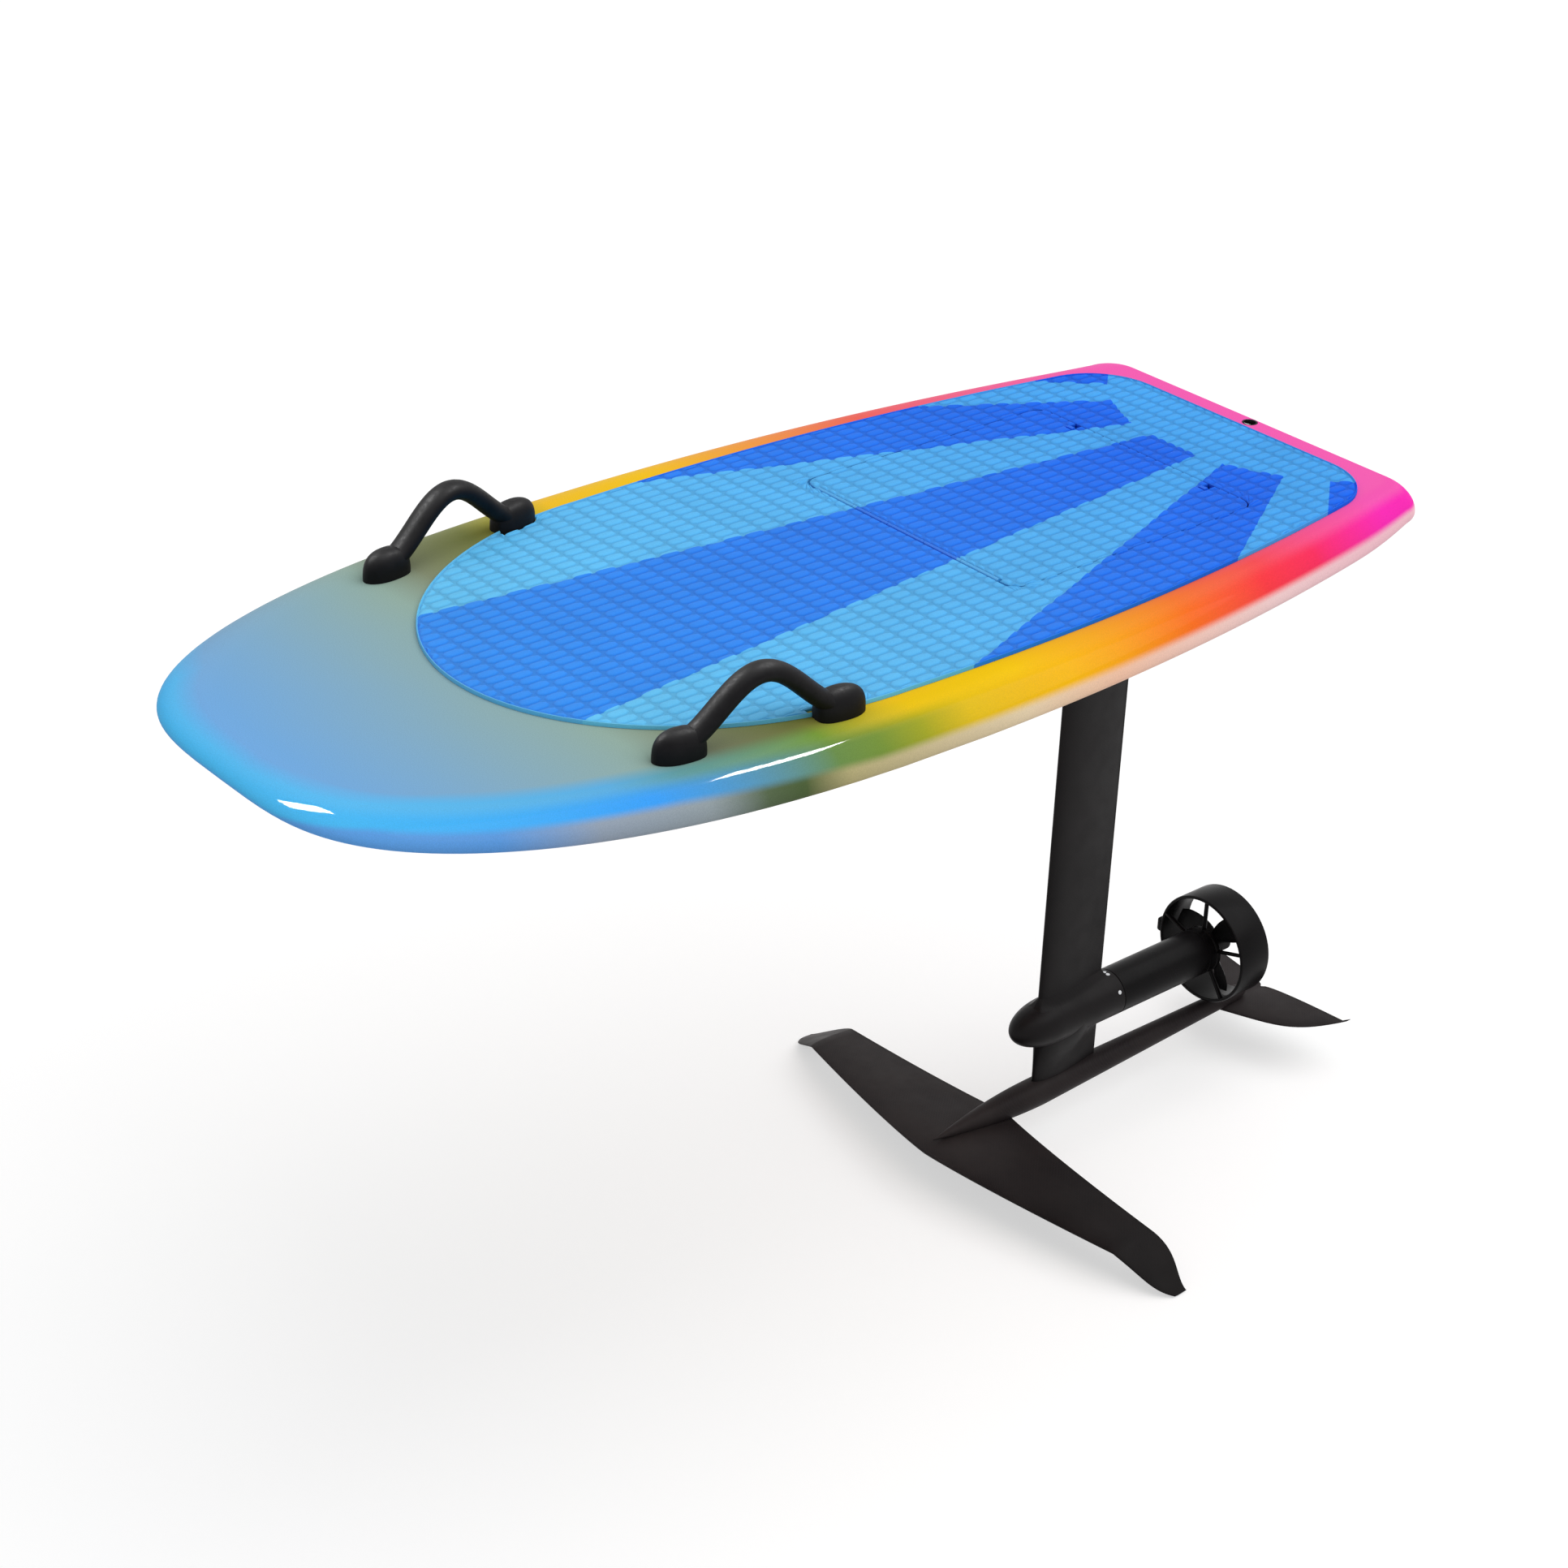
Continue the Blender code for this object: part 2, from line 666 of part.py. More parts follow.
def make_board(looks):
    """The hull with its bay, hatch seat, hinge recess, bolt pockets and screw holes."""
    hull = board_blank(looks["hull"])
    half = HATCH_WIDTH / 2
    seat = rounded_rectangle(half, HATCH_FRONT_Y, HATCH_REAR_Y, HATCH_CORNER)
    cut(hull, prism("seat", seat, LEDGE_Z, DECK_Z + LID_THICKNESS))
    bay = rounded_rectangle(BAY_HALF_WIDTH, BAY_FRONT_Y, BAY_REAR_Y, BAY_CORNER)
    cut(hull, prism("bay", bay, BAY_FLOOR, DECK_Z))
    leaf_half, leaf_floor = HINGE_LENGTH / 2 + SEAT_GAP, DECK_Z - LEAF_THICKNESS - SEAT_GAP
    leaf_front = HATCH_FRONT_Y - BARREL_RADIUS - LEAF_WIDTH - SEAT_GAP
    recess_high = (leaf_half, HATCH_FRONT_Y + HATCH_SEAM, PAD_TOP_Z)
    cut(hull, block("recess", (-leaf_half, leaf_front, leaf_floor), recess_high))
    for x in (BOLT_SIDE, -BOLT_SIDE):
        wide, high = BOLT_WIDTH / 2 + SEAT_GAP, BOLT_HEIGHT / 2 + SEAT_GAP
        pocket_low = (x - wide, HATCH_REAR_Y - HATCH_SEAM, BOLT_Z - high)
        pocket_high = (x + wide, HATCH_REAR_Y + BOLT_TRAVEL, BOLT_Z + high)
        cut(hull, block("pocket", pocket_low, pocket_high))
    for _, _, place, outwards in handle_feet():
        spot = place + outwards * FOOT_SCREW_OUT
        radius = HANDLE_SCREW_RADIUS + TURN_GAP
        hole = cylinder("hole", radius, -HANDLE_SCREW_DEPTH, HANDLE_HEAD_SEAT, SMALL_SIDES)
        cut(hull, placed(hole, spot))
    leash_floor = -LEASH_DEPTH - SEAT_GAP
    leash = cylinder("well", LEASH_RADIUS + SEAT_GAP, leash_floor, LEASH_DEPTH, ROUND_SIDES)
    cut(hull, placed(leash, (0.0, TAIL_Y - LEASH_FROM_TAIL, DECK_Z)))
    insert_half, insert_long = INSERT_WIDTH / 2 + SEAT_GAP, INSERT_LENGTH / 2 + SEAT_GAP
    for x in (MAST_BOLT_ACROSS / 2, -MAST_BOLT_ACROSS / 2):
        slot_low = (x - insert_half, MAST_MIDDLE_Y - insert_long, -INSERT_HEIGHT)
        slot_high = (x + insert_half, MAST_MIDDLE_Y + insert_long, INSERT_HEIGHT + SEAT_GAP)
        cut(hull, block("slot", slot_low, slot_high))
    hole = cylinder("gland_hole", GLAND_RADIUS + SEAT_GAP, -BAY_FLOOR, BAY_FLOOR * 2, ROUND_SIDES)
    cut(hull, placed(hole, (0.0, CHANNEL_Y, 0.0)))
    return hull


def pad_half_width(y):
    """Half-width of the deck pad, whose margin to the rail narrows towards the tail."""
    shoulder, rear = NOSE_Y + PAD_FRONT_MARGIN + PAD_NOSE_LENGTH, TAIL_Y - PAD_REAR_MARGIN
    share = max(0.0, (y - shoulder) / (rear - shoulder))
    return half_width(y) - PAD_SIDE_MARGIN + PAD_MARGIN_TAPER * share


def pad_outline():
    """The deck pad's outline: a half ellipse in front, sides along the rail, round rear corners."""
    nose_steps, side_steps = 8, 7
    front, rear = NOSE_Y + PAD_FRONT_MARGIN, TAIL_Y - PAD_REAR_MARGIN
    shoulder = front + PAD_NOSE_LENGTH
    side = []
    for step in range(1, nose_steps + 1):
        angle = math.pi / 2 * step / nose_steps
        x = pad_half_width(shoulder) * math.sin(angle)
        side.append((x, shoulder - PAD_NOSE_LENGTH * math.cos(angle)))
    corner_y = rear - PAD_CORNER
    lean = math.atan((pad_half_width(corner_y) - pad_half_width(rear)) / PAD_CORNER)
    corner_start = corner_y + PAD_CORNER * math.sin(lean)
    for step in range(1, side_steps + 1):
        y = shoulder + (corner_start - shoulder) * step / side_steps
        side.append((pad_half_width(y), y))
    corner_x = pad_half_width(corner_start) - PAD_CORNER * math.cos(lean)
    for step in range(1, CORNER_STEPS + 1):
        angle = lean + (math.pi / 2 - lean) * step / CORNER_STEPS
        side.append((corner_x + PAD_CORNER * math.cos(angle), corner_y + PAD_CORNER * math.sin(angle)))
    return [(0.0, front)] + side + [(-x, y) for x, y in reversed(side)]


def thumb_slot(x, low, high):
    """The tool for a bolt's thumb slot, open at the hatch's rear edge."""
    wide = THUMB_WIDTH / 2 + SEAT_GAP
    front = BOLT_REAR_Y - THUMB_BACK - THUMB_LENGTH - SEAT_GAP
    return block("thumb_slot", (x - wide, front, low), (x + wide, HATCH_REAR_Y + HATCH_SEAM, high))


def make_pads(looks):
    """The deck pad round the hatch, and the piece of pad on the lid, which is handed back."""
    outline = pad_outline()
    deck_pad = prism("deck_pad", outline, PAD_Z, PAD_TOP_Z, looks["pad"])
    hatch_half = HATCH_WIDTH / 2
    hinge_front = HATCH_FRONT_Y - HINGE_PAD_EDGE
    opening = rounded_rectangle(hatch_half, hinge_front, HATCH_REAR_Y, HATCH_CORNER)
    cut(deck_pad, prism("opening", opening, DECK_Z - PAD_THICKNESS, PAD_TOP_Z + PAD_THICKNESS))
    for _, _, place, outwards in handle_feet():
        notch = foot_outline(place, outwards, FOOT_NOTCH_GAP)
        cut(deck_pad, prism("notch", notch, DECK_Z - PAD_THICKNESS, PAD_TOP_Z + PAD_THICKNESS))
    lid_half, lid_rear = hatch_half - HATCH_SEAM, HATCH_REAR_Y - HATCH_SEAM
    outline = rounded_rectangle(lid_half, HATCH_FRONT_Y + HINGE_PAD_EDGE, lid_rear, HATCH_CORNER)
    hatch_pad = prism("hatch_pad", outline, PAD_Z, PAD_TOP_Z, looks["pad"])
    for x in (BOLT_SIDE, -BOLT_SIDE):
        cut(hatch_pad, thumb_slot(x, DECK_Z - PAD_THICKNESS, PAD_TOP_Z + PAD_THICKNESS))
    return hatch_pad


def make_lid(looks):
    """The hatch lid, with its hinge recess and the channels of its two bolts."""
    half, front, rear = HATCH_WIDTH / 2 - HATCH_SEAM, HATCH_FRONT_Y + HATCH_SEAM, HATCH_REAR_Y - HATCH_SEAM
    outline = rounded_rectangle(half, front, rear, HATCH_CORNER)
    lid = prism("hatch_lid", outline, LID_BOTTOM_Z, DECK_Z, looks["lid"])
    leaf_half, leaf_floor = HINGE_LENGTH / 2 + SEAT_GAP, DECK_Z - LEAF_THICKNESS - SEAT_GAP
    leaf_rear = HATCH_FRONT_Y + BARREL_RADIUS + LEAF_WIDTH + SEAT_GAP
    recess_low = (-leaf_half, HATCH_FRONT_Y - HATCH_SEAM, leaf_floor)
    cut(lid, block("recess", recess_low, (leaf_half, leaf_rear, PAD_TOP_Z)))
    wide, high = BOLT_WIDTH / 2 + SEAT_GAP, BOLT_HEIGHT / 2 + SEAT_GAP
    start = BOLT_REAR_Y - BOLT_LENGTH - SEAT_GAP
    for x in (BOLT_SIDE, -BOLT_SIDE):
        channel_high = (x + wide, HATCH_REAR_Y, BOLT_Z + high)
        cut(lid, block("channel", (x - wide, start, BOLT_Z - high), channel_high))
        cut(lid, thumb_slot(x, BOLT_Z, PAD_TOP_Z))
    return lid


def make_gasket(looks):
    half, edge = HATCH_WIDTH / 2, LEDGE_WIDTH - GASKET_WIDTH
    margin = edge / 2
    outer = rounded_rectangle(half - margin, HATCH_FRONT_Y + margin, HATCH_REAR_Y - margin, HATCH_CORNER)
    inset = margin + GASKET_WIDTH
    corner = HATCH_CORNER - GASKET_WIDTH
    inner = rounded_rectangle(half - inset, HATCH_FRONT_Y + inset, HATCH_REAR_Y - inset, corner)
    low, high = LEDGE_Z + SEAT_GAP, LID_BOTTOM_Z - SEAT_GAP
    return frame("hatch_gasket", outer, inner, low, high, looks["rubber"])


def make_hinge(looks):
    """Two leaves with knuckles in turn along one pin; hands back the lid's leaf."""
    turn = (0.0, math.pi / 2, 0.0)
    axis = Vector((0.0, HATCH_FRONT_Y, HINGE_Z))
    half_length, step = HINGE_LENGTH / 2, HINGE_LENGTH / KNUCKLES
    leaves = []
    for name, sign, first in (("hinge_leaf_deck", -1.0, 0), ("hinge_leaf_lid", 1.0, 1)):
        near, far = sign * BARREL_RADIUS, sign * (BARREL_RADIUS + LEAF_WIDTH)
        ends = sorted((HATCH_FRONT_Y + near, HATCH_FRONT_Y + far))
        low = (-half_length, ends[0], DECK_Z - LEAF_THICKNESS)
        leaf = block(name, low, (half_length, ends[1], DECK_Z), looks["steel"])
        for index in range(first, KNUCKLES, 2):
            start = index * step - half_length + SEAT_GAP
            end = start + step - 2 * SEAT_GAP
            web_reach = sign * (BARREL_RADIUS + LEAF_THICKNESS / 2)
            ends = sorted((HATCH_FRONT_Y, HATCH_FRONT_Y + web_reach))
            low = (start, ends[0], DECK_Z - LEAF_THICKNESS)
            join(leaf, block("web", low, (end, ends[1], HINGE_Z - HINGE_PIN_RADIUS)))
            barrel = cylinder("barrel", BARREL_RADIUS, start, end, SMALL_SIDES)
            join(leaf, placed(barrel, axis, turn))
        bore = cylinder("bore", HINGE_PIN_RADIUS + TURN_GAP, -HINGE_LENGTH, HINGE_LENGTH, SMALL_SIDES)
        cut(leaf, placed(bore, axis, turn))
        leaves.append(leaf)
    pin = cylinder("hinge_pin", HINGE_PIN_RADIUS, -half_length, half_length, SMALL_SIDES, looks["steel"])
    placed(pin, axis, turn)
    return leaves[1]


def make_bolt(name, x, looks):
    """A sliding hatch bolt with its thumb tab, drawn back."""
    half = BOLT_WIDTH / 2
    low = (x - half, BOLT_REAR_Y - BOLT_LENGTH, BOLT_Z - BOLT_HEIGHT / 2)
    bolt = block(name, low, (x + half, BOLT_REAR_Y, BOLT_Z + BOLT_HEIGHT / 2), looks["plastic"])
    tab_rear = BOLT_REAR_Y - THUMB_BACK
    low = (x - THUMB_WIDTH / 2, tab_rear - THUMB_LENGTH, BOLT_Z)
    join(bolt, block("tab", low, (x + THUMB_WIDTH / 2, tab_rear, PAD_TOP_Z - SEAT_GAP)))
    return set_origin(bolt, (x, BOLT_REAR_Y, BOLT_Z))


def bevelled(thing, width):
    """Round a box's edges."""
    change = thing.modifiers.new("edges", "BEVEL")
    change.width = width
    change.segments = 2
    return thing


def make_battery(looks):
    half = BAY_HALF_WIDTH - BATTERY_SIDE_GAP
    front = BAY_FRONT_Y + SEAT_GAP
    low = (-half, front, BAY_FLOOR + SEAT_GAP)
    high = (half, front + BATTERY_LENGTH, LID_BOTTOM_Z - BATTERY_TOP_GAP)
    battery = block("battery_pack", low, high, looks["plastic"])
    return bevelled(battery, BATTERY_EDGE)


def make_controller(looks):
    """The finned motor controller beside the cable gland; hands back where the lead leaves it."""
    front = BAY_FRONT_Y + 2 * SEAT_GAP + BATTERY_LENGTH
    rear = BAY_REAR_Y - SEAT_GAP
    right = -GLAND_FLANGE_RADIUS - BATTERY_SIDE_GAP
    left = CONTROLLER_WALL_GAP - BAY_HALF_WIDTH
    floor, top = BAY_FLOOR + SEAT_GAP, BAY_FLOOR + CONTROLLER_HEIGHT
    controller = block("motor_controller", (left, front, floor), (right, rear, top), looks["metal"])
    pitch = (right - left) / (CONTROLLER_FINS + 1)
    for index in range(CONTROLLER_FINS):
        x = left + pitch * (index + 1)
        half = pitch * FIN_SHARE / 2
        groove_low = (x - half, front - FIN_DEPTH, top - FIN_DEPTH)
        cut(controller, block("groove", groove_low, (x + half, rear + FIN_DEPTH, top + FIN_DEPTH)))
    return right


def lead_path(controller_side):
    """From the controller, down through the gland and the mast, and back to the motor."""
    steps = 4
    top = BAY_FLOOR + CONTROLLER_HEIGHT / 2
    foot = POD_Z + LEAD_ABOVE_AXIS
    path = [Vector((controller_side + SEAT_GAP, CHANNEL_Y, top))]
    for step in range(steps + 1):
        angle = math.pi / 2 * step / steps
        x, down = LEAD_BEND * (math.sin(angle) - 1.0), LEAD_BEND * (1.0 - math.cos(angle))
        path.append(Vector((x, CHANNEL_Y, top - down)))
    for step in range(steps + 1):
        angle = math.pi / 2 * step / steps
        back, above = LEAD_BEND * (1.0 - math.cos(angle)), LEAD_BEND * (1.0 - math.sin(angle))
        path.append(Vector((0.0, CHANNEL_Y + back, foot + above)))
    stator_front = HOUSING_FRONT_Y + STATOR_FROM_FRONT
    path.append(Vector((0.0, stator_front - SEAT_GAP, foot)))
    return path


def make_gland(looks):
    bore = LEAD_RADIUS + LEAD_GAP
    low, seat = SEAT_GAP, BAY_FLOOR + SEAT_GAP
    top = seat + GLAND_FLANGE_HEIGHT
    profile = [(GLAND_RADIUS, low), (GLAND_RADIUS, seat), (GLAND_FLANGE_RADIUS, seat)]
    profile += [(GLAND_FLANGE_RADIUS, top), (bore, top), (bore, low)]
    gland = turned("cable_gland", profile, ROUND_SIDES, looks["plastic"], hollow=True)
    return placed(gland, (0.0, CHANNEL_Y, 0.0))


def make_leash_plug(looks):
    inner = LEASH_RADIUS - LEASH_WALL
    profile = [(0.0, -LEASH_DEPTH), (LEASH_RADIUS, -LEASH_DEPTH), (LEASH_RADIUS, 0.0), (inner, 0.0)]
    profile += [(inner, LEASH_WALL - LEASH_DEPTH), (0.0, LEASH_WALL - LEASH_DEPTH)]
    centre = (0.0, TAIL_Y - LEASH_FROM_TAIL, DECK_Z)
    cup = placed(turned("leash_cup", profile, ROUND_SIDES, looks["plastic"]), centre)
    reach = inner * math.cos(math.pi / ROUND_SIDES) - SEAT_GAP
    pin = cylinder("leash_pin", LEASH_PIN_RADIUS, -reach, reach, SMALL_SIDES, looks["steel"])
    turn = (0.0, math.pi / 2, math.pi / ROUND_SIDES)
    placed(pin, (0.0, centre[1], DECK_Z - LEASH_PIN_DEPTH), turn)


def grip_path(front, rear):
    """The grip's centre line: an arch from one foot to the other."""
    steps = 16
    low = GRIP_THICKNESS / 2 + GRIP_DECK_GAP
    path = []
    for step in range(steps + 1):
        share = step / steps
        height = low + (HANDLE_RISE - low) * max(0.0, math.sin(math.pi * share)) ** HANDLE_ARCH_POWER
        path.append(front.lerp(rear, share) + Vector((0.0, 0.0, height)))
    return path


def make_grip(name, front, rear, grown, look=None):
    """The rubber grip: an oval tube along its arch."""
    path = grip_path(front, rear)
    across = (rear - front).cross(Vector((0.0, 0.0, 1.0))).normalized()
    rings = []
    for index, point in enumerate(path):
        along = (path[min(index + 1, len(path) - 1)] - path[max(index - 1, 0)]).normalized()
        up = across.cross(along)
        ring = []
        for step in range(GRIP_SIDES):
            angle = math.tau * step / GRIP_SIDES
            wide = (GRIP_WIDTH / 2 + grown) * math.cos(angle)
            high = (GRIP_THICKNESS / 2 + grown) * math.sin(angle)
            ring.append(point + across * wide + up * high)
        rings.append(ring)
    return loft(name, rings, look)


def make_foot(name, place, outwards, look):
    """A handle's foot: a rounded lobe that is flat where it sits on the deck."""
    rings = []
    for height, scale in FOOT_LEVELS:
        outline = foot_outline(place, outwards, 0.0)
        ring = []
        for x, y in outline:
            offset = Vector((x, y, 0.0)) - Vector((place.x, place.y, 0.0))
            spot = place + offset * scale
            ring.append((spot.x, spot.y, place.z + FOOT_HEIGHT * height))
        rings.append(ring)
    return loft(name, rings, look)


def make_handles(looks):
    """Both grab handles, their feet and their screws."""
    feet = handle_feet()
    for side in ("left", "right"):
        front, rear = [place for whose, _, place, _ in feet if whose == side]
        make_grip("handle_grip_" + side, front, rear, 0.0, looks["rubber"])
        for whose, end, place, outwards in feet:
            if whose != side:
                continue
            foot = make_foot("handle_foot_" + side + "_" + end, place, outwards, looks["rubber"])
            cut(foot, make_grip("socket", front, rear, SEAT_GAP))
            spot = place + outwards * FOOT_SCREW_OUT
            seat = spot + Vector((0.0, 0.0, HANDLE_HEAD_SEAT))
            flip = (math.pi, 0.0, 0.0)
            through = HANDLE_HEAD_SEAT * 2
            tool = headed_hole(HANDLE_HEAD_RADIUS, FOOT_HEIGHT, HANDLE_SCREW_RADIUS, through)
            cut(foot, placed(tool, seat, flip))
            length = HANDLE_HEAD_SEAT + HANDLE_SCREW_DEPTH - 2 * SEAT_GAP
            sizes = (HANDLE_HEAD_RADIUS, HANDLE_HEAD_HEIGHT, HANDLE_SCREW_RADIUS, length)
            screw = headed("handle_screw_" + side + "_" + end, *sizes, looks["steel"])
            placed(screw, seat + Vector((0.0, 0.0, SEAT_GAP)), flip)


def foil_loop(chord, thickness, grown=0.0):
    """A symmetric foil section as points behind its leading edge and off its chord line."""
    upper = []
    for step in range(FOIL_POINTS + 1):
        share = 0.5 - 0.5 * math.cos(math.pi * step / FOIL_POINTS)
        terms = [math.sqrt(share), share, share ** 2, share ** 3, share ** 4]
        half = 5 * thickness * sum(factor * term for factor, term in zip(FOIL_SERIES, terms))
        along = share * (chord + 2 * grown) - grown
        upper.append((along, max(half, FOIL_EDGE / 2) + grown if step else 0.0))
    lower = [(along, -half) for along, half in reversed(upper[1:])]
    return upper + lower


def mast_outline(grown=0.0):
    return [(half, MAST_LEAD_Y + along) for along, half in foil_loop(MAST_CHORD, MAST_THICKNESS, grown)]


def make_mast(looks):
    """The mast: a channel for the phase lead, a notch inside the pod and bolt holes in its foot."""
    top = -HEAD_THICKNESS / 2
    mast = prism("mast", mast_outline(), MAST_FOOT_Z, top, looks["carbon"])
    lead_z = POD_Z + LEAD_ABOVE_AXIS
    room = LEAD_RADIUS + LEAD_GAP
    channel = cylinder("channel", room, lead_z - room, HEAD_THICKNESS, SMALL_SIDES)
    cut(mast, placed(channel, (0.0, CHANNEL_Y, 0.0)))
    notch_low = (-MAST_THICKNESS, CHANNEL_Y, lead_z - 2 * room)
    notch_high = (MAST_THICKNESS, MAST_TAIL_Y + MAST_THICKNESS, lead_z + 4 * room)
    cut(mast, block("notch", notch_low, notch_high))
    radius, reach = FOIL_BOLT_RADIUS + TURN_GAP, FOIL_BOLT_REACH + TURN_GAP
    for back in FOIL_BOLT_BACK:
        hole = cylinder("hole", radius, -FOIL_BOLT_SEAT, reach, SMALL_SIDES)
        cut(mast, placed(hole, (0.0, MAST_LEAD_Y + back, FUSELAGE_Z)))
    return mast


def mast_bolt_places():
    for x in (MAST_BOLT_ACROSS / 2, -MAST_BOLT_ACROSS / 2):
        for y in (-MAST_BOLT_ALONG / 2, MAST_BOLT_ALONG / 2):
            yield x, MAST_MIDDLE_Y + y


def make_head_plate(looks):
    """The plate and collar that hold the mast's top."""
    top, bottom = -SEAT_GAP, -HEAD_THICKNESS
    front, rear = MAST_MIDDLE_Y - HEAD_LENGTH / 2, MAST_MIDDLE_Y + HEAD_LENGTH / 2
    outline = rounded_rectangle(HEAD_WIDTH / 2, front, rear, HEAD_CORNER)
    plate = prism("mast_head_plate", outline, bottom, top, looks["metal"])
    collar_low = bottom - HEAD_COLLAR_HEIGHT
    join(plate, prism("collar", mast_outline(HEAD_COLLAR_WALL), collar_low, bottom / 2))
    socket_low, socket_high = collar_low - HEAD_COLLAR_HEIGHT, SEAT_GAP - HEAD_THICKNESS / 2
    cut(plate, prism("socket", mast_outline(SEAT_GAP), socket_low, socket_high))
    bore = cylinder("bore", LEAD_RADIUS + LEAD_GAP, -HEAD_THICKNESS, HEAD_THICKNESS, SMALL_SIDES)
    cut(plate, placed(bore, (0.0, CHANNEL_Y, 0.0)))
    return plate


def make_mast_head(looks):
    """The head plate, its bolts, and the insert bars that they screw into."""
    plate = make_head_plate(looks)
    radius, reach = MAST_BOLT_RADIUS + TURN_GAP, INSERT_HEIGHT - SEAT_GAP
    length = HEAD_THICKNESS + reach - SEAT_GAP
    for index, (x, y) in enumerate(mast_bolt_places(), 1):
        seat = Vector((x, y, -HEAD_THICKNESS))
        cut(plate, placed(cylinder("hole", radius, -reach, reach, SMALL_SIDES), seat))
        name = "mast_bolt_%d" % index
        head_radius, head_height = MAST_BOLT_HEAD_RADIUS, MAST_BOLT_HEAD_HEIGHT
        bolt = headed(name, head_radius, head_height, MAST_BOLT_RADIUS, length, looks["steel"])
        placed(bolt, seat - Vector((0.0, 0.0, SEAT_GAP)))
    half_wide, half_long = INSERT_WIDTH / 2, INSERT_LENGTH / 2
    for side, x in (("left", MAST_BOLT_ACROSS / 2), ("right", -MAST_BOLT_ACROSS / 2)):
        low = (x - half_wide, MAST_MIDDLE_Y - half_long, SEAT_GAP)
        high = (x + half_wide, MAST_MIDDLE_Y + half_long, INSERT_HEIGHT)
        insert = block("mast_insert_" + side, low, high, looks["metal"])
        for y in (-MAST_BOLT_ALONG / 2, MAST_BOLT_ALONG / 2):
            hole = cylinder("hole", radius, -INSERT_HEIGHT, INSERT_HEIGHT * 2, SMALL_SIDES)
            cut(insert, placed(hole, (x, MAST_MIDDLE_Y + y, 0.0)))


def on_motor_axis(thing, y):
    return placed(thing, (0.0, y, POD_Z), ALONG_Y)


def pod_screw_frame(angle):
    """Where a pod screw's head seats, and its turn so that its shank points to the pod's axis."""
    turn = math.radians(angle)
    radius = POD_RADIUS - POD_HEAD_HEIGHT
    y = POD_TAIL_Y - POD_SCREW_AHEAD
    place = Vector((radius * math.cos(turn), y, POD_Z + radius * math.sin(turn)))
    inwards = Vector((-math.cos(turn), 0.0, -math.sin(turn)))
    return place, inwards.to_track_quat("Z", "Y").to_euler(), inwards


def pod_profile():
    """The pod's radius along its length, from its round nose to its square end."""
    steps = 6
    profile = [(0.0, 0.0)]
    for step in range(1, steps + 1):
        angle = math.pi / 2 * step / steps
        profile.append((POD_RADIUS * math.sin(angle), POD_NOSE_LENGTH * (1.0 - math.cos(angle))))
    length = POD_TAIL_Y - POD_NOSE_Y
    return profile + [(POD_RADIUS, length), (0.0, length)]


def make_pod_half(name, sign, looks):
    """One half of the pod, cut for the mast, the lead and the motor housing's spigot."""
    half = on_motor_axis(turned(name, pod_profile(), FINE_SIDES, looks["carbon"]), POD_NOSE_Y)
    clear = POD_RADIUS * 2
    ends = sorted((-sign * clear, sign * SEAT_GAP / 2))
    low = (ends[0], POD_NOSE_Y - clear, POD_Z - clear)
    cut(half, block("other_side", low, (ends[1], POD_TAIL_Y + clear, POD_Z + clear)))
    cut(half, prism("mast_gap", mast_outline(SEAT_GAP), POD_Z - clear, POD_Z + clear))
    reach = SPIGOT_LENGTH + SEAT_GAP
    spigot = cylinder("spigot_gap", SPIGOT_RADIUS + SEAT_GAP, -reach, reach, FINE_SIDES)
    cut(half, on_motor_axis(spigot, POD_TAIL_Y))
    run = cylinder("lead_gap", LEAD_RADIUS + LEAD_GAP, 0.0, MAST_CHORD, SMALL_SIDES)
    cut(half, placed(run, (0.0, CHANNEL_Y, POD_Z + LEAD_ABOVE_AXIS), ALONG_Y))
    return half


def make_pod(looks):
    """The pod that grips the mast in two halves, and its screws."""
    sizes = (POD_HEAD_RADIUS, POD_HEAD_HEIGHT, POD_SCREW_RADIUS, POD_SCREW_LENGTH)
    for side, sign in (("left", 1.0), ("right", -1.0)):
        half = make_pod_half("pod_half_" + side, sign, looks)
        for index, angle in enumerate(POD_SCREW_ANGLES, 1):
            place, turn, inwards = pod_screw_frame(angle if sign > 0 else 180.0 - angle)
            tool = headed_hole(POD_HEAD_RADIUS, POD_WALL, POD_SCREW_RADIUS, POD_SCREW_LENGTH)
            cut(half, placed(tool, place, turn))
            screw = headed("pod_screw_%s_%d" % (side, index), *sizes, looks["steel"])
            placed(screw, place - inwards * SEAT_GAP, turn)


